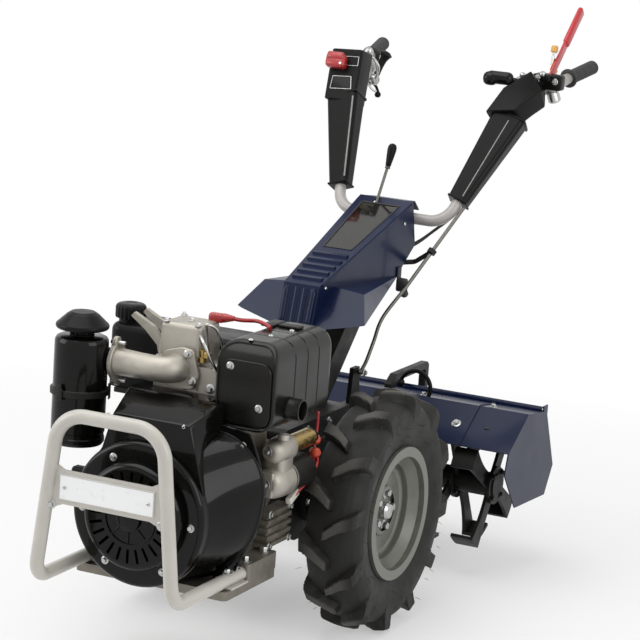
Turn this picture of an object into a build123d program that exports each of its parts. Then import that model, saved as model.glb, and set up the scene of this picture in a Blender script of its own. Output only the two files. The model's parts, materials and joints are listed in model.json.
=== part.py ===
from build123d import *
import os
from math import atan2, cos, hypot, radians, sin, sqrt, tan

os.makedirs("parts", exist_ok=True)

# Two-wheel hand tractor with a diesel engine in front and a rotary tiller behind, in millimetres.
# +Z is up, -Y is forwards, +X is the machine's left. The origin is on the floor under the middle
# of the overall box. Places along Y are reckoned from the wheels' axle.

# Wheels and axle
tyre_radius = 258.0
tyre_width = 126.0
bead_radius = 127.0
bead_width = 98.0
tread_drop = 14.0
bead_height = 17.0
lug_height = 22.0
lug_width = 28.0
lug_count = 12
lug_angle = 36.0
lug_nose = 4.0
track_width = 452.0
axle_y = -106.0
axle_z = tyre_radius
half_axle_radius = 17.5
running_gap = 0.05
shaft_end_gap = 2.0
rim_flange_radius = 143.0
rim_flange_width = 8.0
rim_wall = 5.0
rim_well_radius = 104.0
rim_disc_offset = 8.0
rim_disc_wall = 6.0
hub_radius = 52.0
hub_length = 30.0
axle_tube_radius = 38.0
axle_tube_reach = 122.0

# Gearbox and clutch housing
gearbox_width = 144.0
gearbox_front = 150.0
gearbox_back = 185.0
gearbox_bottom = 176.0
gearbox_top = 430.0
gearbox_edge = 18.0
clutch_radius = 128.0
clutch_throat = 86.0
clutch_wall = 12.0

# Engine
crank_z = 345.0
engine_back = 330.0
engine_front = 500.0
block_width = 250.0
block_top = 502.0
base_bottom = 186.0
base_thickness = 18.0
base_width = 342.0
base_front = 568.0
base_back = 350.0
foot_height = 34.0
foot_front = 474.0
shroud_wall = 4.0
shroud_flange = 10.0
shroud_depth = 108.0
shroud_rim = 6.0
shroud_corner = 22.0
duct_top = 537.0
duct_left = 108.0
duct_step = 10.0
drum_radius = 146.0
drum_depth = 26.0
recoil_radius = 108.0
recoil_depth = 26.0
recoil_wall = 3.0
recoil_hub = 58.0
recoil_slots = 24
cowl_height = 58.0
cowl_left = 76.0
cowl_width = 184.0
cowl_depth = 148.0
head_width = 150.0
head_middle = -8.0
head_front = 452.0
head_depth = 110.0
head_height = 52.0
rocker_height = 78.0
rocker_width = 100.0
rocker_shift = 2.0
rocker_corner = 14.0

# Air cleaner and intake
cleaner_radius = 54.0
cleaner_x = -208.0
cleaner_y = 520.0
cleaner_bottom = 432.0
cleaner_top = 653.0
cleaner_ring = 541.0
intake_radius = 26.0
intake_z = 607.0
intake_y = 494.0
intake_shift = 24.0
intake_left = -140.0
intake_bend = 30.0
intake_flange = 9.0

# Muffler and tailpipe
muffler_left = 210.0
muffler_right = 80.0
muffler_front = 490.0
muffler_back = 240.0
muffler_bottom = 512.0
muffler_top = 690.0
muffler_corner = 36.0
muffler_wall = 3.0
muffler_edge = 10.0
muffler_band = 3.0
muffler_bands = (86.0, 140.0, 190.0)
tailpipe_radius = 17.0
tailpipe_wall = 2.0
tailpipe_collar = 6.0
tailpipe_y = 420.0
tailpipe_z = 551.0
tailpipe_reach = 30.0

# Fuel tank
tank_left = 66.0
tank_right = -256.0
tank_front = 338.0
tank_back = 205.0
tank_bottom = 512.0
tank_height = 134.0
tank_corner = 26.0
bracket_overlap = 14.0
filler_x = -222.0
filler_y = 304.0
filler_radius = 24.0
cap_radius = 32.0
cap_height = 30.0

# Starter
starter_radius = 34.0
starter_z = 384.0
starter_front = 400.0
starter_back = 246.0
starter_nose = 80.0
solenoid_radius = 19.0
solenoid_z = 447.0
solenoid_back = 214.0
pump_width = 32.0
pump_front = 372.0
pump_back = 268.0
pump_clearance = 2.0
pump_top = 322.0
pump_ribs = 5

# Front guard
tube_radius = 14.0
guard_y = 750.0
guard_top = 553.5
guard_top_half = 114.0
guard_bottom_half = 152.0
guard_top_bend = 64.0
guard_bottom_bend = 40.0
plate_thickness = 4.0
plate_half = 95.0
plate_bottom = 376.0
plate_top = 444.0
plate_flare = 16.0
sign_width = 208.0
sign_height = 50.0
sign_thickness = 2.5

# Hood and its wings
hood_sheet = 3.0
hood_foot = (10.0, 615.0)
hood_brow = (35.0, 707.0)
hood_crest = (445.0, 847.0)
hood_heel = (468.0, 745.0)
hood_tail = (390.0, 684.0)
hood_brow_half = 42.0
hood_crest_half = 66.0
window_front = 200.0
window_back = 414.0
window_margin = 18.0
window_thickness = 3.0
wing_reach = 152.0
wing_shoulder = 120.0
wing_shoulder_y = 95.0
wing_tip_y = 38.0
wing_front_z = 638.0
wing_foot = 94.0
wing_top = 692.0
hood_lip_half = 52.0
hood_lip = ((486.0, 842.0), (512.0, 820.0))
louvre_count = 5
louvre_start = 28.0
louvre_pitch = 28.0
louvre_height = 5.0
flute_count = 4
flute_height = 3.0
stay_distance = 330.0
stay_depth = 10.0
stay_rise = 44.0
stay_shift = 44.0

# Handlebar
bar_radius = 13.0
bar_pivot = (478.0, 803.0)
bar_elbow = 132.0
bar_knee = (222.0, 665.0, 1078.0)
bar_end = (274.0, 968.0, 1137.0)
bar_elbow_bend = 52.0
bar_knee_bend = 44.0
grip_radius = 16.5
grip_length = 118.0
clamp_radius = 27.0
clamp_width = 68.0
column_width = 44.0
column_depth = 60.0
column_foot = (112.0, gearbox_top)
cover_foot_width = 48.0
cover_foot_depth = 40.0
cover_head_width = 80.0
cover_head_depth = 52.0
cover_start = 0.17
cover_finish = 0.84
handle_head_height = 92.0
head_brim = 8.0
head_corner = 8.0
grip_cap = 4.0
lever_x = 258.0
lever_low = (735.0, 1128.0)
lever_high = (904.0, 1274.0)
lever_width = 9.0
lever_depth = 22.0
gear_foot = (-24.0, 393.0, 754.0)
gear_head = (-8.0, 458.0, 915.0)
gear_rod_radius = 4.5
gear_knob_radius = 11.0
gear_knob_length = 50.0
gear_hole_gap = 4.0
lever_bracket_width = 60.0
lever_bracket_height = 70.0
lever_bracket_depth = 24.0
lever_bracket_shift = 10.0

# Tiller
tiller_width = 716.0
case_width = 110.0
case_end = 470.0
case_bottom = 262.0
case_top = 372.0
leg_width = 56.0
leg_radius = 46.0
rotor_y = 545.0
rotor_z = 203.0
rotor_radius = 150.0
rotor_shaft_radius = 20.0
rotor_tube_radius = 28.0
rotor_end_gap = 6.0
rotor_sweep_gap = 10.0
rotor_half = 285.0
flange_thickness = 8.0
flange_radius = 44.0
flange_places = (90.0, 182.0, 274.0)
flange_twist = 30.0
tine_width = 34.0
tine_thickness = 8.0
tine_foot = 46.0
tine_sweep = radians(14)
tine_heel = radians(5)
hood_brim = (410.0, 318.0)
hood_edge = (517.0, 389.0)
hood_back = (613.0, 377.0)
tiller_sheet = 3.0
tiller_seam = 237.0
shield_low = ((699.0, 235.0), (676.0, 199.0), (658.0, 171.0), (474.0, 179.0), (396.0, 270.0))
flap_hinge = (623.0, 378.0)
flap_edge = (712.0, 240.0)
flap_slot = 80.0
flap_gap = 6.0
hinge_pin_radius = 4.0
hinge_tube_radius = 8.0
hinge_ear = 12.0

# Link rod, its brackets, the cables and the small levers
link_side = 20.0
link_bend = (63.0, 318.0, 590.0)
link_foot = (60.0, 235.0, 489.0)
link_bend_radius = 60.0
link_radius = 3.5
link_ball = 9.0
link_gap = 8.0
guide_share = 0.60
guide_arm = ((20.0, 424.0, 703.0), (78.0, 452.0, 710.0))
guide_bend = 14.0
guide_width = 12.0
guide_height = 10.0
guide_radius = 10.0
post_width = 10.0
post_reach = 30.0
cable_radius = 3.0
cable_arc_share = 0.45
cable_shifts = (0.0, -8.0)
cable_route = ((134.0, 508.0, 812.0), (104.0, 497.0, 783.0), (76.0, 484.0, 757.0), (46.0, 466.0, 735.0))
battery_radius = 4.0
battery_route = ((58.0, -372.0, 700.0), (40.0, -330.0, 676.0), (20.0, -290.0, 652.0), (24.0, -240.0, 650.0))
hitch_y = 530.0
hitch_foot_x = 100.0
hitch_rise = 54.0
hitch_run = 70.0
hitch_radius = 5.0
hitch_knob = 10.0
knob_shift = 20.0
knob_drop = 18.0
knob_reach = 40.0
knob_stem = 6.0
knob_width = 44.0
knob_height = 20.0
knob_depth = 18.0
clutch_share = 0.30
clutch_offset = (40.0, -26.0)
clutch_blade = 18.0
clutch_perch = 16.0
clutch_reach = 120.0
handle_y = 585.0
handle_z = 397.0
handle_width = 24.0
handle_height = 30.0
handle_depth = 16.0
shroud_side = 146.0

# Depth skid
skid_y = 735.0
skid_bar = 25.0
skid_width = 60.0
skid_sole = 6.0
skid_length = 110.0


# A point of the tractor's side view, from its distance behind the axle and its height
def side(distance, height, x=0.0):
    return (x, axle_y + distance, height)


# The plane of the side view at one place along X; its first direction is +Y, its second +Z
def side_plane(x=0.0):
    return Plane(origin=(x, axle_y, 0), x_dir=(0, 1, 0), z_dir=(1, 0, 0))


# The plane that looks forwards at one distance behind the axle; local x is +X, local y is +Z
def front_plane(distance):
    return Plane(origin=(0, axle_y + distance, 0), x_dir=(1, 0, 0), z_dir=(0, -1, 0))


# The outline of a bent sheet whose outer face follows the points and whose inner face lies to their right
def sheet_outline(points, thickness):
    inner = []
    for index, point in enumerate(points):
        before = points[max(index - 1, 0)]
        after = points[min(index + 1, len(points) - 1)]
        steps = [(point, after)] if point == before else [(before, point)]
        if before != point and after != point:
            steps.append((point, after))
        normals = []
        for start, end in steps:
            run = hypot(end[0] - start[0], end[1] - start[1])
            normals.append(((end[1] - start[1]) / run, -(end[0] - start[0]) / run))
        nx = sum(normal[0] for normal in normals) / len(normals)
        ny = sum(normal[1] for normal in normals) / len(normals)
        share = thickness / (nx * nx + ny * ny)
        inner.append((point[0] + nx * share, point[1] + ny * share))
    return list(points) + inner[::-1]


# A finished piece is named and written to its own file
def finish(piece, name):
    piece.part.label = name
    export_step(piece.part, "parts/" + name + ".step")



# Left tyre with two rows of lugs, cut off at the tread's crown, and its mirror image on the right
carcass = tyre_radius - lug_height
bead_top = bead_radius + bead_height
side_wall = [(bead_width / 2, bead_top), (tyre_width / 2, (bead_top + carcass) / 2),
             (tyre_width / 2 - tread_drop / 2, carcass - tread_drop), (tyre_width / 4, carcass)]
crown = [(tyre_width / 2, tyre_radius - tread_drop / 2), (tyre_width / 4, tyre_radius)]
lug_root = side_wall[1][1]
lug_run = tyre_width / 2 * tan(radians(lug_angle))
with BuildPart() as tread:
    for row in (1, -1):
        for step in range(lug_count):
            turn = radians(360 * (step + (0.5 if row < 0 else 0)) / lug_count)
            outward = Vector(0, -sin(turn), cos(turn))
            with BuildSketch(Plane(origin=Vector(track_width / 2, axle_y, axle_z) + outward * lug_root,
                                   x_dir=(row, 0, 0), z_dir=outward)):
                with BuildLine():
                    Polyline((lug_nose, -row * lug_width / 2), (tyre_width / 2, row * (lug_run - lug_width * 0.6)),
                             (tyre_width / 2, row * (lug_run + lug_width * 0.6)), (-lug_nose, row * lug_width / 3),
                             close=True)
                make_face()
            extrude(amount=tyre_radius)
    for place, radius in crown + [(-place, radius) for place, radius in reversed(crown)]:
        with BuildSketch(Plane(origin=(track_width / 2 + place, axle_y, axle_z), x_dir=(0, 1, 0), z_dir=(1, 0, 0))):
            RegularPolygon(radius, 3 * lug_count)
    loft(ruled=True, mode=Mode.INTERSECT)
with BuildPart() as tyre_left:
    for place, radius in side_wall + [(-place, radius) for place, radius in reversed(side_wall)]:
        with BuildSketch(Plane(origin=(track_width / 2 + place, axle_y, axle_z), x_dir=(0, 1, 0), z_dir=(1, 0, 0))):
            RegularPolygon(radius, 3 * lug_count)
    loft(ruled=True)
    add(tread.part)
    with BuildSketch(Plane(origin=((track_width - tyre_width) / 2, axle_y, axle_z), z_dir=(1, 0, 0))):
        Circle(bead_radius)
    extrude(amount=tyre_width, mode=Mode.SUBTRACT)
finish(tyre_left, "tyre_left")

with BuildPart() as tyre_right:
    mirror(tyre_left.part, about=Plane.YZ)
finish(tyre_right, "tyre_right")

# Rims and hubs
for name, sign in (("left", 1), ("right", -1)):
    middle = sign * track_width / 2
    wheel_axis = Axis((middle, axle_y, axle_z), (1, 0, 0))
    wheel_plane = Plane(origin=(middle, axle_y, axle_z), x_dir=(sign, 0, 0), z_dir=(0, -sign, 0))

    with BuildPart() as rim:
        half = bead_width / 2
        lip = half + rim_flange_width
        with BuildSketch(wheel_plane):
            with BuildLine():
                Polyline((-half, bead_radius), (half, bead_radius), (half, rim_flange_radius),
                         (lip, rim_flange_radius), (lip, bead_radius - rim_wall),
                         (half - rim_wall, bead_radius - rim_wall),
                         (half / 2, rim_well_radius + rim_wall), (half / 2, rim_well_radius),
                         (rim_disc_offset + rim_disc_wall, rim_well_radius),
                         (rim_disc_offset + rim_disc_wall, half_axle_radius),
                         (rim_disc_offset, half_axle_radius), (rim_disc_offset, rim_well_radius),
                         (-half / 2, rim_well_radius), (-half / 2, rim_well_radius + rim_wall),
                         (rim_wall - half, bead_radius - rim_wall), (-lip, bead_radius - rim_wall),
                         (-lip, rim_flange_radius), (-half, rim_flange_radius), close=True)
            make_face()
        revolve(axis=wheel_axis)
    finish(rim, "rim_" + name)

    with BuildPart() as hub:
        with BuildSketch(Plane(origin=(middle + sign * rim_disc_offset, axle_y, axle_z), z_dir=(-sign, 0, 0))):
            Circle(hub_radius)
        extrude(amount=hub_length)
        with BuildSketch(Plane(origin=(middle + sign * (rim_disc_offset + 2 * rim_disc_wall), axle_y, axle_z),
                               z_dir=(-sign, 0, 0))):
            Circle(half_axle_radius)
        extrude(amount=track_width / 2 + rim_disc_offset + 2 * rim_disc_wall - gearbox_width / 2 - shaft_end_gap)
    finish(hub, "hub_" + name)

# Axle tubes with their bearings' bores
with BuildPart() as axle_tubes:
    for sign in (1, -1):
        with BuildSketch(Plane(origin=(sign * gearbox_width / 2, axle_y, axle_z), z_dir=(sign, 0, 0))):
            Circle(axle_tube_radius)
            Circle(half_axle_radius + running_gap, mode=Mode.SUBTRACT)
        extrude(amount=axle_tube_reach - gearbox_width / 2)
        with BuildSketch(Plane(origin=(sign * gearbox_width / 2, axle_y, axle_z), z_dir=(sign, 0, 0))):
            Circle(axle_tube_radius + 16)
            Circle(axle_tube_radius, mode=Mode.SUBTRACT)
        extrude(amount=14)
finish(axle_tubes, "axle_tubes")

# Gearbox casting
with BuildPart() as gearbox:
    with BuildSketch(side_plane(-gearbox_width / 2)):
        with BuildLine():
            Polyline((-gearbox_front, crank_z - clutch_throat), (-gearbox_front / 2, gearbox_bottom),
                     (gearbox_back / 2, gearbox_bottom), (gearbox_back, case_bottom - gearbox_edge),
                     (gearbox_back, gearbox_top), (-gearbox_front, gearbox_top), close=True)
        make_face()
    extrude(amount=gearbox_width)
    fillet(gearbox.edges().filter_by(Axis.X), gearbox_edge)
finish(gearbox, "gearbox")

# Clutch housing between the engine and the gearbox
with BuildPart() as clutch_housing:
    throat = gearbox_width / 2
    for wall, mode in ((0.0, Mode.ADD), (clutch_wall, Mode.SUBTRACT)):
        with BuildSketch(Plane(origin=side(-engine_back, crank_z), x_dir=(1, 0, 0), z_dir=(0, 1, 0))):
            Circle(clutch_radius - wall)
        with BuildSketch(Plane(origin=side(-gearbox_front, crank_z), x_dir=(1, 0, 0), z_dir=(0, 1, 0))):
            Circle(throat - wall)
        loft(mode=mode)
finish(clutch_housing, "clutch_housing")

# Engine base plate
with BuildPart() as engine_base:
    with BuildSketch(Plane.XY.offset(base_bottom)):
        with Locations((0, axle_y - (base_front + base_back) / 2)):
            RectangleRounded(base_width, base_front - base_back, 12)
    extrude(amount=base_thickness)
finish(engine_base, "engine_base")
base_top = base_bottom + base_thickness

# Crankcase, one plain block with its two feet
with BuildPart() as crankcase:
    with BuildSketch(Plane.XY.offset(base_top)):
        with Locations((0, axle_y - (engine_front + engine_back) / 2)):
            RectangleRounded(block_width, engine_front - engine_back, 14)
    extrude(amount=block_top - base_top)
    with BuildSketch(Plane.XY.offset(base_top)):
        with Locations((0, axle_y - (foot_front + base_back) / 2)):
            RectangleRounded(base_width, foot_front - base_back, 8)
    extrude(amount=foot_height)
finish(crankcase, "crankcase")

# A closed polygon's points moved towards a centre by one distance
def inset(points, centre, distance):
    moved = []
    for px, pz in points:
        reach = hypot(px - centre[0], pz - centre[1])
        moved.append((px - distance * (px - centre[0]) / reach, pz - distance * (pz - centre[1]) / reach))
    return moved


# Fan shroud, a sheet bowl that is open towards the crankcase, with the air duct above it
crank = (0.0, crank_z)
shroud_back = [(-108, base_top + 8), (108, base_top + 8), (188, 298), (208, 398), (194, 456),
               (140, block_top), (-124, block_top), (-138, 430), (-176, 372), (-170, 298)]
shroud_front = []
for px, pz in shroud_back:
    reach = hypot(px - crank[0], pz - crank[1])
    shroud_front.append((crank[0] + (px - crank[0]) * (drum_radius - 1) / reach,
                         crank[1] + (pz - crank[1]) * (drum_radius - 1) / reach))
drum_back = engine_front + shroud_depth
drum_front = drum_back + drum_depth
cowl_top = block_top + cowl_height
duct_back = [(cowl_left - cowl_width, 400), (duct_left, 400), (duct_left, cowl_top), (cowl_left - cowl_width, cowl_top)]
duct_front = [(-112, 400), (138, 400), (100, duct_top), (-72, duct_top)]
duct_centre = (8.0, 440.0)
with BuildPart() as fan_shroud:
    with BuildSketch(front_plane(-engine_front)):
        with BuildLine():
            Polyline(*inset(shroud_back, crank, -shroud_rim), close=True)
        make_face()
        fillet(vertices(), shroud_corner)
    extrude(amount=shroud_flange)
    for points, distance in ((shroud_back, engine_front),
                             (shroud_front, drum_back)):
        with BuildSketch(front_plane(-distance)):
            with BuildLine():
                Polyline(*points, close=True)
            make_face()
            fillet(vertices(), shroud_corner)
    loft(ruled=True)
    for points, distance in ((duct_back, engine_front),
                             (duct_front, drum_back + duct_step)):
        with BuildSketch(front_plane(-distance)):
            with BuildLine():
                Polyline(*points, close=True)
            make_face()
    loft(ruled=True)
    with BuildSketch(front_plane(-drum_back + shroud_depth / 3)):
        with Locations(crank):
            Circle(drum_radius)
    extrude(amount=drum_depth + shroud_depth / 3)
    fillet(fan_shroud.edges().filter_by(GeomType.CIRCLE).sort_by(Axis.Y)[0], 12)
    for points, distance in ((inset(shroud_back, crank, shroud_wall), engine_front),
                             (inset(shroud_front, crank, shroud_wall), drum_back)):
        with BuildSketch(front_plane(-distance)):
            with BuildLine():
                Polyline(*points, close=True)
            make_face()
            fillet(vertices(), shroud_corner - shroud_wall)
    loft(ruled=True, mode=Mode.SUBTRACT)
    for points, distance in ((inset(duct_back, duct_centre, shroud_wall), engine_front),
                             (inset(duct_front, duct_centre, shroud_wall), drum_back + duct_step - shroud_wall)):
        with BuildSketch(front_plane(-distance)):
            with BuildLine():
                Polyline(*points, close=True)
            make_face()
    loft(ruled=True, mode=Mode.SUBTRACT)
    with BuildSketch(front_plane(-drum_back)):
        with Locations(crank):
            Circle(drum_radius - 2 * shroud_wall)
    extrude(amount=drum_depth - shroud_wall, mode=Mode.SUBTRACT)
finish(fan_shroud, "fan_shroud")

# Recoil starter cover, a domed disc on the drum's face
with BuildPart() as recoil_cover:
    with BuildSketch(front_plane(-drum_front)):
        with Locations(crank):
            Circle(recoil_radius)
    extrude(amount=recoil_depth)
    fillet(recoil_cover.edges().filter_by(GeomType.CIRCLE).sort_by(Axis.Y)[0], recoil_depth * 0.6)
    with BuildSketch(front_plane(-drum_front)):
        with Locations(crank):
            Circle(recoil_radius - 4 * recoil_wall)
    extrude(amount=recoil_depth - recoil_wall, mode=Mode.SUBTRACT)
    with BuildSketch(front_plane(-drum_front - recoil_depth)):
        with Locations(crank):
            Circle(recoil_hub)
            Circle(recoil_hub - 2 * recoil_wall, mode=Mode.SUBTRACT)
            Circle(recoil_hub / 3)
    extrude(amount=recoil_wall)
    with BuildSketch(front_plane(-drum_front - recoil_depth / 2)):
        with Locations(crank):
            with PolarLocations((recoil_radius + recoil_hub) / 2 - 2 * recoil_wall, recoil_slots):
                SlotOverall(recoil_hub / 2, 2 * recoil_wall)
    extrude(amount=recoil_depth, mode=Mode.SUBTRACT)
finish(recoil_cover, "recoil_cover")

# Cowl round the cylinder, on the crankcase and behind the duct
with BuildPart() as cylinder_cowl:
    with BuildSketch(Plane.XY.offset(block_top)):
        with Locations((cowl_left - cowl_width / 2, axle_y - engine_front + cowl_depth / 2)):
            Rectangle(cowl_width, cowl_depth)
    extrude(amount=cowl_height)
    fillet(cylinder_cowl.edges().filter_by(Axis.Z).group_by(Axis.Y)[-1], 16)
finish(cylinder_cowl, "cylinder_cowl")

# Cylinder head and rocker cover
head_y = axle_y - head_front + head_depth / 2
head_top = cowl_top + head_height
with BuildPart() as cylinder_head:
    with BuildSketch(Plane.XY.offset(cowl_top)):
        with Locations((head_middle, head_y)):
            RectangleRounded(head_width, head_depth, 10)
    extrude(amount=head_height)
finish(cylinder_head, "cylinder_head")

with BuildPart() as rocker_cover:
    rocker_x = head_middle - head_width / 2 + rocker_width / 2
    with BuildSketch(Plane.XY.offset(head_top)):
        with Locations((rocker_x + rocker_shift, head_y)):
            RectangleRounded(rocker_width, head_depth - rocker_corner, rocker_corner)
    extrude(amount=rocker_height, taper=4)
    fillet(rocker_cover.faces().sort_by(Axis.Z)[-1].edges(), rocker_corner * 0.7)
finish(rocker_cover, "rocker_cover")

# Two lifting eyes, curved cast ribs beside the rocker cover
with BuildPart() as lifting_eyes:
    for offset_y in (-26, 22):
        with BuildSketch(Plane(origin=(head_middle - head_width / 2 + 4, head_y + offset_y, head_top),
                               x_dir=(1, 0, 0), z_dir=(0, -1, 0))):
            with BuildLine():
                Polyline((0, 0), (16, 0), (10, 30), (-16, 62), (-62, 84), (-68, 76), (-34, 52), (-6, 26), close=True)
            make_face()
        extrude(amount=12)
    add(rocker_cover.part, mode=Mode.SUBTRACT)
finish(lifting_eyes, "lifting_eyes")

# Air cleaner, a canister with its outlet towards the intake pipe
with BuildPart() as air_cleaner:
    cleaner_place = Plane(origin=side(-cleaner_y, cleaner_bottom, cleaner_x))
    with BuildSketch(cleaner_place):
        Circle(cleaner_radius)
    extrude(amount=cleaner_top - cleaner_bottom)
    fillet(air_cleaner.edges().filter_by(GeomType.CIRCLE).sort_by(Axis.Z)[-1], 4)
    with BuildSketch(Plane(origin=side(-cleaner_y, cleaner_ring - 5, cleaner_x))):
        Circle(cleaner_radius + 4)
    extrude(amount=10)
    with BuildSketch(Plane(origin=side(-intake_y, intake_z, cleaner_x), z_dir=(1, 0, 0))):
        Circle(intake_radius - 2)
    extrude(amount=intake_left - intake_flange - cleaner_x)
    with BuildSketch(Plane(origin=side(-cleaner_y, cleaner_bottom + 3, cleaner_x))):
        Circle(cleaner_radius - 3)
    extrude(amount=cleaner_top - cleaner_bottom - 6, mode=Mode.SUBTRACT)
    with BuildSketch(Plane(origin=side(-intake_y, intake_z, cleaner_x), z_dir=(1, 0, 0))):
        Circle(intake_radius - 8)
    extrude(amount=intake_left - intake_flange - cleaner_x, mode=Mode.SUBTRACT)
finish(air_cleaner, "air_cleaner")

# Mushroom pre-cleaner on the canister
with BuildPart() as pre_cleaner:
    with BuildSketch(Plane(origin=side(-cleaner_y, cleaner_top, cleaner_x), x_dir=(1, 0, 0), z_dir=(0, -1, 0))):
        with BuildLine():
            foot_line = Polyline((0, 0), (22, 0), (20, 12), (50, 14))
            brim = ThreePointArc(foot_line @ 1, (53.5, 20), (50, 26))
            cone = Line(brim @ 1, (32, 43))
            cap = Polyline(cone @ 1, (24, 48), (0, 48))
            Line(cap @ 1, foot_line @ 0)
        make_face()
    revolve(axis=Axis(side(-cleaner_y, 0, cleaner_x), (0, 0, 1)))
finish(pre_cleaner, "pre_cleaner")

# Cast intake pipe from the air cleaner to the cylinder head's front
with BuildPart() as intake_pipe:
    intake_right = head_middle + intake_shift
    with BuildLine() as intake_path:
        FilletPolyline((intake_left, axle_y - intake_y, intake_z),
                       (intake_right, axle_y - intake_y, intake_z),
                       (intake_right, axle_y - head_front - intake_flange, intake_z), radius=intake_bend)
    with BuildSketch(Plane(origin=intake_path.line @ 0, z_dir=intake_path.line % 0)):
        Circle(intake_radius)
    sweep(path=intake_path.line)
    with BuildSketch(Plane(origin=(intake_left, axle_y - intake_y, intake_z), z_dir=(-1, 0, 0))):
        SlotCenterToCenter(62, 30, rotation=90)
        Circle(intake_radius + 5)
    extrude(amount=intake_flange)
    with BuildSketch(Plane(origin=(intake_right, axle_y - head_front, intake_z), x_dir=(1, 0, 0), z_dir=(0, -1, 0))):
        with BuildLine():
            Polyline((-34, -30), (20, -36), (38, -24), (30, 34), (10, 38), (-34, 20), close=True)
        make_face()
        fillet(vertices(), 7)
    extrude(amount=intake_flange)
finish(intake_pipe, "intake_pipe")

# Exhaust casting from the head to the muffler's side
with BuildPart() as exhaust_port:
    with BuildSketch(Plane(origin=(head_middle + head_width / 2, head_y, intake_z - 8), z_dir=(1, 0, 0))):
        RectangleRounded(56, 50, 8)
    extrude(amount=muffler_right - head_middle - head_width / 2)
finish(exhaust_port, "exhaust_port")

# Muffler, a hollow rounded box with its bands, and its tailpipe
with BuildPart() as muffler:
    muffler_width = muffler_left - muffler_right
    muffler_height = muffler_top - muffler_bottom
    muffler_place = Plane(origin=side(-muffler_front, (muffler_top + muffler_bottom) / 2,
                                      (muffler_left + muffler_right) / 2),
                          x_dir=(1, 0, 0), z_dir=(0, 1, 0))
    with BuildSketch(muffler_place):
        RectangleRounded(muffler_width, muffler_height, muffler_corner)
    extrude(amount=muffler_front - muffler_back)
    fillet(muffler.faces().sort_by(Axis.Y)[0].edges(), muffler_edge)
    for band_way in muffler_bands:
        with BuildSketch(muffler_place.offset(band_way)):
            RectangleRounded(muffler_width + 2, muffler_height + 2, muffler_corner)
            RectangleRounded(muffler_width - muffler_wall, muffler_height - muffler_wall,
                             muffler_corner - muffler_wall / 2, mode=Mode.SUBTRACT)
        extrude(amount=muffler_band, mode=Mode.SUBTRACT)
    with BuildSketch(muffler_place.offset(muffler_wall)):
        RectangleRounded(muffler_width - 2 * muffler_wall, muffler_height - 2 * muffler_wall,
                         muffler_corner - muffler_wall)
    extrude(amount=muffler_front - muffler_back - 2 * muffler_wall, mode=Mode.SUBTRACT)
    with BuildSketch(Plane(origin=side(-tailpipe_y, tailpipe_z, muffler_left - muffler_wall), z_dir=(1, 0, 0))):
        Circle(tailpipe_radius)
    extrude(amount=tailpipe_reach + muffler_wall)
    with BuildSketch(Plane(origin=side(-tailpipe_y, tailpipe_z, muffler_left - muffler_wall), z_dir=(1, 0, 0))):
        Circle(tailpipe_radius + tailpipe_collar)
    extrude(amount=muffler_wall + tailpipe_wall)
    with BuildSketch(Plane(origin=side(-tailpipe_y, tailpipe_z, muffler_left - 3 * muffler_wall), z_dir=(1, 0, 0))):
        Circle(tailpipe_radius - tailpipe_wall)
    extrude(amount=tailpipe_reach + 4 * muffler_wall, mode=Mode.SUBTRACT)
finish(muffler, "muffler")

# Fuel tank on its bracket behind the head, with the filler cap
with BuildPart() as tank_bracket:
    with BuildSketch(Plane.XY.offset(block_top)):
        with Locations(((tank_left + tank_right) / 2, axle_y - (engine_back + bracket_overlap + tank_back) / 2)):
            Rectangle(tank_left - tank_right - 2 * tank_corner, engine_back + bracket_overlap - tank_back)
    extrude(amount=tank_bottom - block_top)
finish(tank_bracket, "tank_bracket")

with BuildPart() as fuel_tank:
    with BuildSketch(Plane.XY.offset(tank_bottom)):
        with Locations(((tank_left + tank_right) / 2, axle_y - (tank_front + tank_back) / 2)):
            RectangleRounded(tank_left - tank_right, tank_front - tank_back, tank_corner)
    extrude(amount=tank_height)
    fillet(fuel_tank.faces().sort_by(Axis.Z)[-1].edges(), tank_corner * 0.7)
    with BuildSketch(Plane(origin=side(-filler_y, tank_bottom + tank_height - 8, filler_x))):
        Circle(filler_radius)
    extrude(amount=16)
finish(fuel_tank, "fuel_tank")

with BuildPart() as fuel_cap:
    with BuildSketch(Plane(origin=side(-filler_y, tank_bottom + tank_height + 8, filler_x))):
        Circle(cap_radius)
    extrude(amount=cap_height)
    fillet(fuel_cap.edges().sort_by(Axis.Z)[-1], 4)
finish(fuel_cap, "fuel_cap")

# Starter motor with its drive housing and solenoid, on the crankcase's left side
starter_x = block_width / 2 + starter_radius
with BuildPart() as starter_motor:
    with BuildSketch(Plane(origin=side(-starter_front + starter_nose, starter_z, starter_x), z_dir=(0, 1, 0))):
        Circle(starter_radius)
    extrude(amount=starter_front - starter_nose - starter_back)
finish(starter_motor, "starter_motor")

with BuildPart() as starter_housing:
    with BuildSketch(Plane(origin=side(-starter_front, (starter_z + solenoid_z) / 2, starter_x),
                           x_dir=(1, 0, 0), z_dir=(0, 1, 0))):
        SlotCenterToCenter(solenoid_z - starter_z, 2 * starter_radius, rotation=90)
    extrude(amount=starter_nose)
finish(starter_housing, "starter_housing")

with BuildPart() as starter_solenoid:
    with BuildSketch(Plane(origin=side(-starter_front + starter_nose, solenoid_z, starter_x), z_dir=(0, 1, 0))):
        Circle(solenoid_radius)
    extrude(amount=starter_front - starter_nose - solenoid_back)
finish(starter_solenoid, "starter_solenoid")

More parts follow.
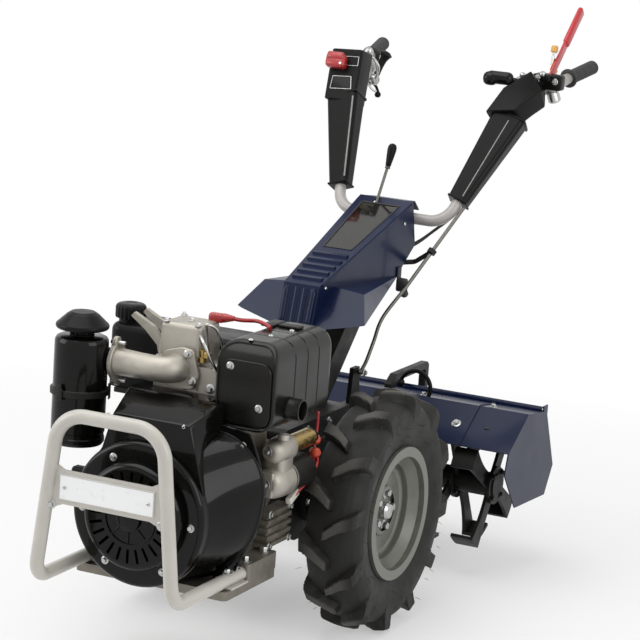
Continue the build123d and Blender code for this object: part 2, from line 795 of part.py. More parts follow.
# Ribbed oil pump cover low on the crankcase's left side
pump_bottom = base_top + foot_height + pump_clearance
with BuildPart() as oil_pump:
    pump_height = pump_top - pump_bottom
    for step in range(pump_ribs):
        rib_z = pump_bottom + pump_height * (step + 0.5) / pump_ribs
        with BuildSketch(Plane(origin=side(-(pump_front + pump_back) / 2, rib_z, block_width / 2), z_dir=(1, 0, 0),
                               x_dir=(0, 1, 0))):
            Rectangle(pump_front - pump_back, pump_height / pump_ribs * 0.5)
        extrude(amount=pump_width)
    with BuildSketch(Plane(origin=side(-(pump_front + pump_back) / 2, (pump_top + pump_bottom) / 2, block_width / 2),
                           z_dir=(1, 0, 0), x_dir=(0, 1, 0))):
        Rectangle(pump_front - pump_back - 10, pump_height * (1 - 0.5 / pump_ribs))
    extrude(amount=pump_width - 6)
finish(oil_pump, "oil_pump")

# Front guard, one bent tube that stands on the engine base
guard_rear = axle_y - foot_front
guard_foot_z = base_top + tube_radius
with BuildPart() as front_guard:
    with BuildLine() as guard_path:
        FilletPolyline((-guard_bottom_half, guard_rear, guard_foot_z),
                       (-guard_bottom_half, axle_y - guard_y, guard_foot_z),
                       (-guard_top_half, axle_y - guard_y, guard_top),
                       (guard_top_half, axle_y - guard_y, guard_top),
                       (guard_bottom_half, axle_y - guard_y, guard_foot_z),
                       (guard_bottom_half, guard_rear, guard_foot_z),
                       radius=[guard_bottom_bend, guard_top_bend, guard_top_bend, guard_bottom_bend])
    with BuildSketch(Plane(origin=guard_path.line @ 0, z_dir=guard_path.line % 0)):
        Circle(tube_radius)
    sweep(path=guard_path.line)
finish(front_guard, "front_guard")

# Cross plate between the guard's legs, flared where it meets them, and the blank sign on it
with BuildPart() as guard_plate:
    plate_middle = (plate_top + plate_bottom) / 2
    leg_half = (guard_bottom_half - (guard_bottom_half - guard_top_half) * (plate_middle - guard_foot_z)
                / (guard_top - guard_foot_z))
    with BuildSketch(front_plane(-guard_y + plate_thickness / 2)):
        with BuildLine():
            Polyline((-leg_half - 4, plate_bottom - plate_flare), (-plate_half, plate_bottom),
                     (plate_half, plate_bottom), (leg_half + 4, plate_bottom - plate_flare),
                     (leg_half - 4, plate_top + plate_flare), (plate_half, plate_top),
                     (-plate_half, plate_top), (4 - leg_half, plate_top + plate_flare), close=True)
        make_face()
    extrude(amount=plate_thickness)
    add(front_guard.part, mode=Mode.SUBTRACT)
finish(guard_plate, "guard_plate")

with BuildPart() as sign_plate:
    with BuildSketch(front_plane(-guard_y - plate_thickness / 2)):
        with Locations((0, plate_middle)):
            Rectangle(sign_width, sign_height)
    extrude(amount=sign_thickness)
    add(front_guard.part, mode=Mode.SUBTRACT)
finish(sign_plate, "sign_plate")


# Half the hood's width at one distance behind the axle
def hood_half(distance):
    slope = (hood_crest_half - hood_brow_half) / (hood_crest[0] - hood_brow[0])
    return hood_brow_half + slope * (distance - hood_brow[0])


# A plane through three points whose normal points away from the point inside
def plane_through(first, second, third, inside):
    origin = Vector(*first)
    normal = (Vector(*second) - origin).cross(Vector(*third) - origin).normalized()
    if normal.dot(Vector(*inside) - origin) > 0:
        normal = -normal
    return Plane(origin=origin, z_dir=normal)


# Hood, a folded sheet cover that is open below and behind, with a hole for the gear lever
gear_low = Vector(*side(gear_foot[1], gear_foot[2], gear_foot[0]))
gear_high = Vector(*side(gear_head[1], gear_head[2], gear_head[0]))
slope_angle = atan2(hood_crest[1] - hood_brow[1], hood_crest[0] - hood_brow[0])
slope_plane = Plane(origin=side(*hood_brow), x_dir=(1, 0, 0), z_dir=(0, -sin(slope_angle), cos(slope_angle)))
with BuildPart() as hood:
    with BuildSketch(side_plane(-hood_crest_half - 20)):
        with BuildLine():
            Polyline(hood_foot, hood_brow, hood_crest, hood_heel, hood_tail, close=True)
        make_face()
    extrude(amount=2 * hood_crest_half + 40)
    for sign in (1, -1):
        split(bisect_by=plane_through(side(hood_brow[0], 0, sign * hood_brow_half),
                                      side(hood_crest[0], 0, sign * hood_crest_half),
                                      side(hood_brow[0], 100, sign * hood_brow_half),
                                      side(hood_crest[0], 0, 0)), keep=Keep.BOTTOM)
    open_faces = [face for face in hood.faces() if face.normal_at().Z < -0.05 or face.normal_at().Y > 0.7]
    offset(amount=-hood_sheet, openings=open_faces)
    with BuildSketch(side_plane(-hood_lip_half)):
        with BuildLine():
            Polyline(*sheet_outline([(hood_crest[0] - 6, hood_crest[1] - 6 * tan(slope_angle)),
                                     hood_crest, *hood_lip], hood_sheet), close=True)
        make_face()
    extrude(amount=2 * hood_lip_half)
    for step in range(louvre_count):
        louvre_way = louvre_start + step * louvre_pitch
        louvre_half = hood_half(hood_brow[0] + louvre_way) - window_margin / 2
        louvre_foot = slope_plane.from_local_coords(Vector(-louvre_half, louvre_way - louvre_pitch / 4, 0))
        with BuildSketch(Plane(origin=louvre_foot, x_dir=slope_plane.y_dir, z_dir=(1, 0, 0))):
            with BuildLine():
                Polyline((0, 0), (louvre_pitch / 2, 0), (louvre_pitch * 0.4, louvre_height * 0.8),
                         (louvre_pitch * 0.1, louvre_height), close=True)
            make_face()
        extrude(amount=2 * louvre_half)
    flute_way = Vector(0, hood_brow[0] - hood_foot[0], hood_brow[1] - hood_foot[1])
    for step in range(flute_count):
        flute_x = hood_brow_half * (2 * (step + 0.5) / flute_count - 1) * 0.9
        flute_foot = Vector(*side(hood_foot[0], hood_foot[1], flute_x)) + flute_way * 0.08
        with BuildSketch(Plane(origin=flute_foot, x_dir=(1, 0, 0), z_dir=flute_way.normalized())):
            Ellipse(hood_brow_half / flute_count * 0.55, flute_height)
        extrude(amount=flute_way.length * 0.84)
    window_outline = [(sign * (hood_half(way) - window_margin), axle_y + way)
                      for sign, way in ((-1, window_front), (1, window_front), (1, window_back), (-1, window_back))]
    with BuildSketch(Plane.XY.offset(hood_brow[1])):
        with BuildLine():
            Polyline(*window_outline, close=True)
        make_face()
    extrude(amount=hood_crest[1] - hood_brow[1] + 50, mode=Mode.SUBTRACT)
    with BuildSketch(Plane(origin=gear_low, z_dir=(gear_high - gear_low).normalized())):
        Circle(gear_rod_radius + gear_hole_gap)
    extrude(amount=(gear_high - gear_low).length, mode=Mode.SUBTRACT)
finish(hood, "hood")

# Smoked window in the hood's slope
with BuildPart() as hood_window:
    with BuildSketch(side_plane(-hood_crest_half)):
        with BuildLine():
            start = (hood_brow[0], hood_brow[1] - 0.4)
            end = (hood_crest[0], hood_crest[1] - 0.4)
            Polyline(*sheet_outline([start, end], window_thickness), close=True)
        make_face()
    extrude(amount=2 * hood_crest_half)
    with BuildSketch(Plane.XY.offset(hood_brow[1])):
        with BuildLine():
            Polyline(*window_outline, close=True)
        make_face()
    extrude(amount=hood_crest[1] - hood_brow[1] + 50, mode=Mode.INTERSECT)
finish(hood_window, "hood_window")

# Hood wings, a folded wedge on either side
wings = []
for sign in (1, -1):
    shoulder_point = side(wing_shoulder_y, wing_top, sign * wing_shoulder)
    tip_point = side(wing_tip_y, wing_front_z, sign * wing_reach)
    tail_point = side(hood_tail[0], hood_tail[1], sign * (hood_half(hood_tail[0]) + 2))
    foot_point = side(hood_foot[0], hood_foot[1], sign * hood_half(hood_foot[0]))
    ridge_point = side(wing_shoulder_y, wing_top + 6, sign * hood_half(wing_shoulder_y))
    core_point = side(wing_shoulder_y, (wing_top + hood_foot[1]) / 2, sign * (hood_half(wing_shoulder_y) + wing_foot) / 2)
    with BuildPart() as wing:
        with BuildSketch(Plane.XY.offset(hood_foot[1] - 10)):
            with BuildLine():
                Polyline((sign * hood_half(hood_foot[0]), axle_y + hood_foot[0]),
                         (sign * wing_foot, axle_y + hood_foot[0]),
                         (sign * wing_reach, axle_y + wing_tip_y),
                         (sign * (hood_half(hood_tail[0]) + 2), axle_y + hood_tail[0]),
                         (sign * hood_half(hood_tail[0]), axle_y + hood_tail[0]), close=True)
            make_face()
        extrude(amount=120)
        split(bisect_by=plane_through(foot_point, side(hood_foot[0], hood_foot[1], sign * wing_foot),
                                      shoulder_point, core_point), keep=Keep.BOTTOM)
        split(bisect_by=plane_through(shoulder_point, tip_point, tail_point, core_point), keep=Keep.BOTTOM)
        split(bisect_by=plane_through(shoulder_point, ridge_point, tail_point, core_point), keep=Keep.BOTTOM)
        split(bisect_by=plane_through(foot_point, tip_point, tail_point, core_point), keep=Keep.BOTTOM)
    wings.append(wing.part)

with BuildPart() as hood_wings:
    for wing_part in wings:
        add(wing_part)
finish(hood_wings, "hood_wings")

# Handlebar, one bent tube that turns in the clamp on the column
with BuildPart() as handlebar_tube:
    pivot_y = axle_y + bar_pivot[0]
    with BuildLine() as bar_path:
        FilletPolyline((-bar_end[0], axle_y + bar_end[1], bar_end[2]), (-bar_knee[0], axle_y + bar_knee[1], bar_knee[2]),
                       (-bar_elbow, pivot_y, bar_pivot[1]), (bar_elbow, pivot_y, bar_pivot[1]),
                       (bar_knee[0], axle_y + bar_knee[1], bar_knee[2]), (bar_end[0], axle_y + bar_end[1], bar_end[2]),
                       radius=[bar_knee_bend, bar_elbow_bend, bar_elbow_bend, bar_knee_bend])
    with BuildSketch(Plane(origin=bar_path.line @ 0, z_dir=bar_path.line % 0)):
        Circle(bar_radius)
    sweep(path=bar_path.line)
finish(handlebar_tube, "handlebar_tube")

# Handlebar column from the gearbox to the clamp round the handlebar's cross tube
with BuildPart() as handlebar_column:
    rise = atan2(bar_pivot[1] - column_foot[1], bar_pivot[0] - column_foot[0])
    shift = (column_depth / 2 * sin(rise), column_depth / 2 * cos(rise))
    with BuildSketch(side_plane(-column_width / 2)):
        with BuildLine():
            Polyline((column_foot[0] - shift[0] - 20, column_foot[1]), (column_foot[0] + 2 * shift[0], column_foot[1]),
                     (bar_pivot[0] + shift[0], bar_pivot[1] - shift[1]),
                     (bar_pivot[0] - shift[0], bar_pivot[1] + shift[1]), close=True)
        make_face()
    extrude(amount=column_width)
    with BuildSketch(side_plane(-clamp_width / 2)):
        with Locations(bar_pivot):
            Circle(clamp_radius)
        with Locations((bar_pivot[0] - 8, bar_pivot[1] - clamp_radius - 4)):
            Rectangle(26, 30)
    extrude(amount=clamp_width)
    with BuildSketch(side_plane(-clamp_width / 2)):
        with Locations(bar_pivot):
            Circle(bar_radius + running_gap)
    extrude(amount=clamp_width, mode=Mode.SUBTRACT)
    stay_half = hood_half(stay_distance) - hood_sheet - 0.3
    with BuildSketch(side_plane(-stay_half)):
        stay_height = column_foot[1] + (stay_distance - column_foot[0]) * tan(rise) + stay_shift
        with Locations((stay_distance, stay_height)):
            Rectangle(stay_depth, stay_rise)
    extrude(amount=2 * stay_half)
finish(handlebar_column, "handlebar_column")

# Handle covers along the tube's rising legs, and the grips at its ends
leg_vector = Vector(bar_knee[0] - bar_elbow, bar_knee[1] - bar_pivot[0], bar_knee[2] - bar_pivot[1])
covers = []
grips = []
heads = []
for sign in (1, -1):
    foot = Vector(sign * bar_elbow, axle_y + bar_pivot[0], bar_pivot[1])
    run = Vector(sign * leg_vector.X, leg_vector.Y, leg_vector.Z)
    with BuildPart() as cover:
        for share, width, depth in ((cover_start, cover_foot_width, cover_foot_depth),
                                    (cover_finish, cover_head_width, cover_head_depth)):
            with BuildSketch(Plane(origin=foot + run * share, x_dir=(1, 0, -sign * leg_vector.X / leg_vector.Z),
                                   z_dir=run.normalized())):
                RectangleRounded(width, depth, 12)
        loft(ruled=True)
        add(handlebar_tube.part, mode=Mode.SUBTRACT)
    covers.append(cover.part)

    bar_tail = Vector(sign * bar_end[0], axle_y + bar_end[1], bar_end[2])
    bar_way = Vector(sign * (bar_end[0] - bar_knee[0]), bar_end[1] - bar_knee[1], bar_end[2] - bar_knee[2]).normalized()
    with BuildPart() as grip:
        with BuildSketch(Plane(origin=bar_tail - bar_way * (grip_length - grip_cap), z_dir=bar_way)):
            Circle(grip_radius)
        extrude(amount=grip_length)
        add(handlebar_tube.part, mode=Mode.SUBTRACT)
    grips.append(grip.part)

    head_foot = foot + run * cover_finish
    with BuildPart() as head:
        with BuildSketch(Plane(origin=head_foot, x_dir=(1, 0, -sign * leg_vector.X / leg_vector.Z),
                               z_dir=run.normalized())):
            RectangleRounded(cover_head_width + head_brim, cover_head_depth + 2 * head_brim, head_corner)
        extrude(amount=handle_head_height)
        fillet(head.faces().sort_by(Axis.Z)[-1].edges(), head_corner * 0.9)
        add(handlebar_tube.part, mode=Mode.SUBTRACT)
    heads.append(head.part)

with BuildPart() as handle_covers:
    for cover_part in covers:
        add(cover_part)
finish(handle_covers, "handle_covers")

with BuildPart() as grip_pair:
    for grip_part in grips:
        add(grip_part)
finish(grip_pair, "grips")

# Red engine switch on the right head
switch_foot = Vector(-bar_elbow, axle_y + bar_pivot[0], bar_pivot[1])
leg_right = Vector(-leg_vector.X, leg_vector.Y, leg_vector.Z)
head_top_place = switch_foot + leg_right * cover_finish + leg_right.normalized() * handle_head_height
with BuildPart() as engine_switch:
    with BuildSketch(Plane(origin=head_top_place, x_dir=(1, 0, leg_vector.X / leg_vector.Z),
                           z_dir=leg_right.normalized())):
        with Locations((-22, -14)):
            RectangleRounded(46, 30, 5)
    extrude(amount=14)
finish(engine_switch, "engine_switch")

# Handle heads, with the locking lever's bracket on the left bar
with BuildPart() as handle_heads:
    for head_part in heads:
        add(head_part)
    bar_rise = (bar_end[2] - bar_knee[2]) / (bar_end[1] - bar_knee[1])
    bar_height = bar_knee[2] + bar_rise * (lever_low[0] - bar_knee[1])
    with BuildSketch(Plane(origin=side(lever_low[0] - lever_bracket_depth / 4, (bar_height + lever_low[1]) / 2,
                                       lever_x - lever_bracket_shift), x_dir=(1, 0, 0), z_dir=(0, 1, bar_rise))):
        RectangleRounded(lever_bracket_width, lever_bracket_height, lever_bracket_width / 10)
    extrude(amount=lever_bracket_depth)
    add(handlebar_tube.part, mode=Mode.SUBTRACT)
finish(handle_heads, "handle_heads")

# Long locking lever above the left grip
with BuildPart() as locking_lever:
    lever_foot = Vector(lever_x, axle_y + lever_low[0], lever_low[1])
    lever_way = Vector(0, lever_high[0] - lever_low[0], lever_high[1] - lever_low[1])
    with BuildSketch(Plane(origin=lever_foot, x_dir=(1, 0, 0), z_dir=lever_way.normalized())):
        RectangleRounded(lever_width, lever_depth, 3)
    extrude(amount=lever_way.length)
    add(handle_heads.part, mode=Mode.SUBTRACT)
finish(locking_lever, "locking_lever")

# Gear lever from the column, through the hood's rear edge, with its knob
with BuildPart() as gear_lever:
    with BuildSketch(Plane(origin=gear_low, z_dir=(gear_high - gear_low).normalized())):
        Circle(gear_rod_radius)
    extrude(amount=(gear_high - gear_low).length)
    with BuildSketch(Plane(origin=gear_high, z_dir=(gear_high - gear_low).normalized())):
        Circle(gear_knob_radius)
    extrude(amount=gear_knob_length)
    fillet(gear_lever.edges().filter_by(GeomType.CIRCLE).sort_by(Axis.Z)[-1], gear_knob_radius * 0.7)
    add(handlebar_column.part, mode=Mode.SUBTRACT)
finish(gear_lever, "gear_lever")

# Tiller's gear case, with the leg that carries the rotor between its two halves
tiller_axis = Axis(side(rotor_y, rotor_z), (1, 0, 0))
top_run = hypot(hood_back[0] - hood_edge[0], hood_back[1] - hood_edge[1])
under = sheet_outline([hood_brim, hood_edge, hood_back], tiller_sheet)
notch_end = case_end + 6


# The height of the front panel's inner face at one distance behind the axle
def under_front(distance):
    share = (distance - under[5][0]) / (under[4][0] - under[5][0])
    return under[5][1] + share * (under[4][1] - under[5][1])


with BuildPart() as tiller_case:
    with BuildSketch(side_plane(-case_width / 2)):
        with BuildLine():
            Polyline((gearbox_back, case_bottom), (case_end - 60, case_bottom), (case_end, case_bottom + 50),
                     (case_end, case_top - 20), (case_end - 20, case_top), (gearbox_back, case_top), close=True)
        make_face()
    extrude(amount=case_width)
    with BuildSketch(side_plane(-case_width / 2)):
        with Locations((rotor_y, rotor_z)):
            Circle(rotor_radius + rotor_sweep_gap)
    extrude(amount=case_width, mode=Mode.SUBTRACT)
    with BuildSketch(side_plane(-leg_width / 2)):
        with BuildLine():
            Polyline((case_end - 90, case_bottom), (rotor_y - leg_radius, rotor_z), (rotor_y + leg_radius, rotor_z),
                     under[3], under[4], (notch_end + 2, under_front(notch_end + 2)),
                     (case_end - 20, case_top - 50), close=True)
        make_face()
        with Locations((rotor_y, rotor_z)):
            Circle(leg_radius)
    extrude(amount=leg_width)
    with BuildSketch(side_plane(-leg_width / 2)):
        with Locations((rotor_y, rotor_z)):
            Circle(rotor_shaft_radius + running_gap)
    extrude(amount=leg_width, mode=Mode.SUBTRACT)
finish(tiller_case, "tiller_case")

# Rotor, a shaft through the leg and a half on either side, each a tube with flanges and bent tines
with BuildPart() as rotor_shaft:
    with BuildSketch(Plane(origin=side(rotor_y, rotor_z, -rotor_half), z_dir=(1, 0, 0))):
        Circle(rotor_shaft_radius)
    extrude(amount=2 * rotor_half)
finish(rotor_shaft, "rotor_shaft")

for name, sign in (("left", 1), ("right", -1)):
    tube_start = leg_width / 2 + rotor_end_gap
    with BuildPart() as rotor:
        with BuildSketch(Plane(origin=side(rotor_y, rotor_z, sign * tube_start), z_dir=(sign, 0, 0))):
            Circle(rotor_tube_radius)
        extrude(amount=rotor_half - tube_start)
        for flange_index, flange_x in enumerate(flange_places):
            with BuildSketch(Plane(origin=side(rotor_y, rotor_z, sign * flange_x), z_dir=(sign, 0, 0))):
                Circle(flange_radius)
            extrude(amount=flange_thickness)
            for quarter in range(4):
                turn = 90 * quarter + flange_index * flange_twist
                hand = 1 if quarter % 2 else -1
                hand = -1 if flange_index == len(flange_places) - 1 else hand
                face_x = sign * (flange_x + (flange_thickness if hand > 0 else -tine_thickness))
                root_plane = Plane(origin=side(rotor_y, rotor_z, face_x),
                                   x_dir=(0, cos(radians(turn)), sin(radians(turn))), z_dir=(sign, 0, 0))
                with BuildSketch(root_plane):
                    with BuildLine():
                        back = ThreePointArc((rotor_tube_radius - 2, -tine_width / 2),
                                             (rotor_radius * 0.6, -tine_width * 0.55),
                                             (rotor_radius * cos(tine_sweep), -rotor_radius * sin(tine_sweep)))
                        heel = ThreePointArc(back @ 1, (rotor_radius * cos(tine_sweep / 2 - tine_heel / 2),
                                                        rotor_radius * sin(tine_heel / 2 - tine_sweep / 2)),
                                             (rotor_radius * cos(tine_heel), rotor_radius * sin(tine_heel)))
                        front = ThreePointArc(heel @ 1, (rotor_radius * 0.6, tine_width * 0.42),
                                              (rotor_tube_radius - 2, tine_width / 2))
                        Line(front @ 1, back @ 0)
                    make_face()
                extrude(amount=tine_thickness)
                with BuildSketch(root_plane):
                    with BuildLine():
                        shell = rotor_radius - tine_thickness
                        sole = ThreePointArc((rotor_radius * cos(tine_sweep), -rotor_radius * sin(tine_sweep)),
                                             (rotor_radius * cos(tine_sweep / 2 - tine_heel / 2),
                                              rotor_radius * sin(tine_heel / 2 - tine_sweep / 2)),
                                             (rotor_radius * cos(tine_heel), rotor_radius * sin(tine_heel)))
                        inside = ThreePointArc((shell * cos(tine_heel), shell * sin(tine_heel)),
                                               (shell * cos(tine_sweep / 2 - tine_heel / 2),
                                                shell * sin(tine_heel / 2 - tine_sweep / 2)),
                                               (shell * cos(tine_sweep), -shell * sin(tine_sweep)))
                        Line(sole @ 1, inside @ 0)
                        Line(inside @ 1, sole @ 0)
                    make_face()
                extrude(amount=hand * tine_foot)
        add(rotor_shaft.part, mode=Mode.SUBTRACT)
    finish(rotor, "rotor_" + name)

# Tiller hood, a bent sheet with a notch for the gear case, and its extensions with the side shields
with BuildPart() as tiller_hood:
    with BuildSketch(side_plane(-tiller_seam)):
        with BuildLine():
            Polyline(*under, close=True)
        make_face()
    extrude(amount=2 * tiller_seam)
    with BuildSketch(side_plane(-case_width / 2 - tiller_sheet)):
        with BuildLine():
            Polyline((hood_brim[0] - 20, hood_brim[1] - 20), (notch_end, hood_brim[1] - 20),
                     (notch_end, case_top + 4), (hood_brim[0] - 20, case_top + 4), close=True)
        make_face()
    extrude(amount=case_width + 2 * tiller_sheet, mode=Mode.SUBTRACT)
finish(tiller_hood, "tiller_hood")

shields = []
for sign in (1, -1):
    with BuildPart() as extension:
        with BuildSketch(side_plane(sign * tiller_seam)):
            with BuildLine():
                Polyline(*under, close=True)
            make_face()
        extrude(amount=sign * (tiller_width / 2 - tiller_seam - tiller_sheet))
        with BuildSketch(side_plane(sign * (tiller_width / 2 - tiller_sheet))):
            with BuildLine():
                Polyline(hood_edge, hood_back, (flap_hinge[0] - hinge_ear, flap_hinge[1] + hinge_ear),
                         (flap_hinge[0] + hinge_ear, flap_hinge[1] + hinge_ear),
                         (flap_hinge[0] + hinge_ear, flap_hinge[1] - hinge_ear), *shield_low, hood_brim, close=True)
            make_face()
        extrude(amount=sign * tiller_sheet)
    shields.append(extension.part)

with BuildPart() as tiller_shields:
    for shield_part in shields:
        add(shield_part)
finish(tiller_shields, "tiller_shields")

# Rear flap on its hinge pin, in one piece with a slot for the skid's bar
flap_half = tiller_width / 2 - tiller_sheet - flap_gap
with BuildPart() as hinge_pin:
    with BuildSketch(Plane(origin=side(*flap_hinge, tiller_sheet - tiller_width / 2), z_dir=(1, 0, 0))):
        Circle(hinge_pin_radius)
    extrude(amount=tiller_width - 2 * tiller_sheet)
finish(hinge_pin, "hinge_pin")

with BuildPart() as rear_flap:
    flap_way = Vector(0, flap_edge[0] - flap_hinge[0], flap_edge[1] - flap_hinge[1])
    with BuildSketch(Plane(origin=side(*flap_hinge, -flap_half), z_dir=(1, 0, 0))):
        Circle(hinge_tube_radius)
    extrude(amount=2 * flap_half)
    with BuildSketch(side_plane(-flap_half)):
        with BuildLine():
            Polyline(*sheet_outline([flap_hinge, flap_edge], tiller_sheet), close=True)
        make_face()
    extrude(amount=2 * flap_half)
    with BuildSketch(side_plane(-flap_slot / 2)):
        with BuildLine():
            Polyline((flap_hinge[0] - 30, flap_hinge[1] - 30 + hinge_tube_radius), (flap_hinge[0] + 30, flap_hinge[1] - 10),
                     (flap_edge[0] + 40, flap_edge[1]), (flap_edge[0] - 60, flap_edge[1] - 40), close=True)
        make_face()
    extrude(amount=flap_slot, mode=Mode.SUBTRACT)
    with BuildSketch(Plane(origin=side(*flap_hinge, -flap_half), z_dir=(1, 0, 0))):
        Circle(hinge_pin_radius + running_gap)
    extrude(amount=2 * flap_half, mode=Mode.SUBTRACT)
finish(rear_flap, "rear_flap")

# Depth skid behind the tiller, on its bracket across the hood's top
with BuildPart() as depth_skid:
    bracket_top = hood_edge[1] + 4 + skid_bar
    with BuildSketch(side_plane(-skid_bar / 2)):
        with BuildLine():
            Polyline((hood_edge[0] + 8, hood_edge[1] - 8 * (hood_edge[1] - hood_back[1]) / (hood_back[0] - hood_edge[0])),
                     (hood_back[0] - 8, hood_back[1] + 8 * (hood_edge[1] - hood_back[1]) / (hood_back[0] - hood_edge[0])),
                     (hood_back[0] - 8, hood_back[1] + hinge_tube_radius + 8), (skid_y - skid_bar / 2, bracket_top - skid_bar),
                     (skid_y - skid_bar / 2, skid_sole), (skid_y + skid_bar / 2, skid_sole),
                     (skid_y + skid_bar / 2, bracket_top), (hood_edge[0] + 8, bracket_top), close=True)
        make_face()
    extrude(amount=skid_bar)
    with BuildSketch(side_plane(-skid_width / 2)):
        with BuildLine():
            Polyline(*sheet_outline([(skid_y - skid_length / 2 - 28, skid_sole + 26), (skid_y - skid_length / 2, skid_sole),
                                     (skid_y + skid_length / 2, skid_sole)], skid_sole), close=True)
        make_face()
    extrude(amount=skid_width)
finish(depth_skid, "depth_skid")

# Link rod from the left handle cover's foot down to a knuckle on the gear case, open at its upper end
cover_foot = Vector(bar_elbow, axle_y + bar_pivot[0], bar_pivot[1]) + leg_vector * cover_start
cover_place = Plane(origin=cover_foot, x_dir=(1, 0, -leg_vector.X / leg_vector.Z), z_dir=leg_vector.normalized())
rod_top = cover_place.from_local_coords(Vector(link_side, 0, 0))
rod_bend = Vector(*side(link_bend[1], link_bend[2], link_bend[0]))
rod_foot = Vector(*side(link_foot[1], link_foot[2], link_foot[0]))
rod_way = rod_top - rod_bend
with BuildPart() as link_rod:
    with BuildLine() as rod_path:
        FilletPolyline(rod_top - rod_way.normalized() * link_gap, rod_bend, rod_foot, radius=link_bend_radius)
    with BuildSketch(Plane(origin=rod_path.line @ 0, z_dir=rod_path.line % 0)):
        Circle(link_radius)
    sweep(path=rod_path.line)
    with Locations(rod_foot):
        Sphere(link_ball)
finish(link_rod, "link_rod")

# Brackets of the link rod: the guide's arm on the column, and the post with the knuckle's pin
with BuildPart() as rod_brackets:
    guide_ring = rod_bend + rod_way * guide_share
    with BuildLine() as arm_path:
        FilletPolyline(side(guide_arm[0][1], guide_arm[0][2], guide_arm[0][0]),
                       side(guide_arm[1][1], guide_arm[1][2], guide_arm[1][0]), guide_ring, radius=guide_bend)
    with BuildSketch(Plane(origin=arm_path.line @ 0, x_dir=(0, 1, 0), z_dir=arm_path.line % 0)):
        Rectangle(guide_width, guide_height)
    sweep(path=arm_path.line)
    with BuildSketch(Plane(origin=guide_ring - rod_way.normalized() * guide_height / 2, z_dir=rod_way.normalized())):
        Circle(guide_radius)
    extrude(amount=guide_height)
    with BuildSketch(Plane(origin=guide_ring - rod_way.normalized() * guide_width * 2, z_dir=rod_way.normalized())):
        Circle(link_radius + running_gap)
    extrude(amount=guide_width * 4, mode=Mode.SUBTRACT)
    add(handlebar_column.part, mode=Mode.SUBTRACT)
    post_x = link_foot[0] - link_ball - post_width
    with BuildSketch(side_plane(post_x)):
        with BuildLine():
            Polyline((link_foot[1] - post_reach, case_top), (link_foot[1] + post_reach, case_top),
                     (link_foot[1] + post_reach / 2, link_foot[2] + link_ball),
                     (link_foot[1] - post_reach / 2, link_foot[2] + link_ball), close=True)
        make_face()
    extrude(amount=post_width)
    with BuildSketch(Plane(origin=(post_x + post_width, rod_foot.Y, rod_foot.Z), z_dir=(1, 0, 0))):
        Circle(link_radius)
    extrude(amount=link_ball)
    add(link_rod.part, mode=Mode.SUBTRACT)
finish(rod_brackets, "rod_brackets")

# Control cables from the left cover's foot into the hood's open back; their bends' radii are printed
with BuildPart() as control_cables:
    cable_side = Vector(0, leg_vector.Z, -leg_vector.Y).normalized()
    for shift in cable_shifts:
        starts = [cover_foot + cable_side * (bar_radius + cable_radius + running_gap) + Vector(shift, 0, 0)]
        points = starts + [Vector(*side(py, pz, px)) + Vector(shift / 2, 0, -shift / 2) for px, py, pz in cable_route]
        radii = []
        for before, point, after in zip(points, points[1:], points[2:]):
            turn = radians((point - before).get_angle(after - point))
            shorter = min((point - before).length, (after - point).length)
            radii.append(cable_arc_share * shorter / tan(turn / 2))
        print("control cable radii", [round(radius, 1) for radius in radii])
        with BuildLine() as cable_path:
            FilletPolyline(*points, radius=radii)
        with BuildSketch(Plane(origin=cable_path.line @ 0, z_dir=cable_path.line % 0)):
            Circle(cable_radius)
        sweep(path=cable_path.line)
    add(handle_covers.part, mode=Mode.SUBTRACT)
finish(control_cables, "control_cables")

# Battery cable over the tank from its terminal's boot on the rocker cover
with BuildPart() as battery_cable:
    boot_start = Vector(rocker_x + rocker_width / 2 + rocker_shift, head_y, head_top + rocker_height * 0.6)
    boot_points = [boot_start] + [Vector(*side(py, pz, px)) for px, py, pz in battery_route]
    radii = []
    for before, point, after in zip(boot_points, boot_points[1:], boot_points[2:]):
        turn = radians((point - before).get_angle(after - point))
        shorter = min((point - before).length, (after - point).length)
        radii.append(cable_arc_share * shorter / tan(turn / 2))
    print("battery cable radii", [round(radius, 1) for radius in radii])
    with BuildLine() as boot_path:
        FilletPolyline(*boot_points, radius=radii)
    with BuildSketch(Plane(origin=boot_path.line @ 0, z_dir=boot_path.line % 0)):
        Circle(battery_radius)
    sweep(path=boot_path.line)
    add(rocker_cover.part, mode=Mode.SUBTRACT)
finish(battery_cable, "battery_cable")

# Bent handle with its knob on the tiller hood
with BuildPart() as hitch_handle:
    hitch_slope = (hood_back[1] - hood_edge[1]) / (hood_back[0] - hood_edge[0])
    hitch_foot_z = hood_edge[1] + hitch_slope * (hitch_y - hood_edge[0])
    with BuildLine() as hitch_path:
        ThreePointArc(side(hitch_y, hitch_foot_z - hitch_radius, hitch_foot_x),
                      side(hitch_y, hitch_foot_z + hitch_rise, hitch_foot_x - hitch_run / 2),
                      side(hitch_y, hitch_foot_z + hitch_rise * 0.4, hitch_foot_x - hitch_run))
    with BuildSketch(Plane(origin=hitch_path.line @ 0, z_dir=hitch_path.line % 0)):
        Circle(hitch_radius)
    sweep(path=hitch_path.line)
    with Locations(hitch_path.line @ 1):
        Sphere(hitch_knob)
    with BuildSketch(Plane(origin=side(hitch_y, hitch_foot_z, hitch_foot_x), x_dir=(1, 0, 0),
                           z_dir=(0, hitch_slope, -1))):
        Circle(2 * hitch_radius)
    extrude(amount=4 * hitch_radius, mode=Mode.SUBTRACT)
finish(hitch_handle, "hitch_handle")

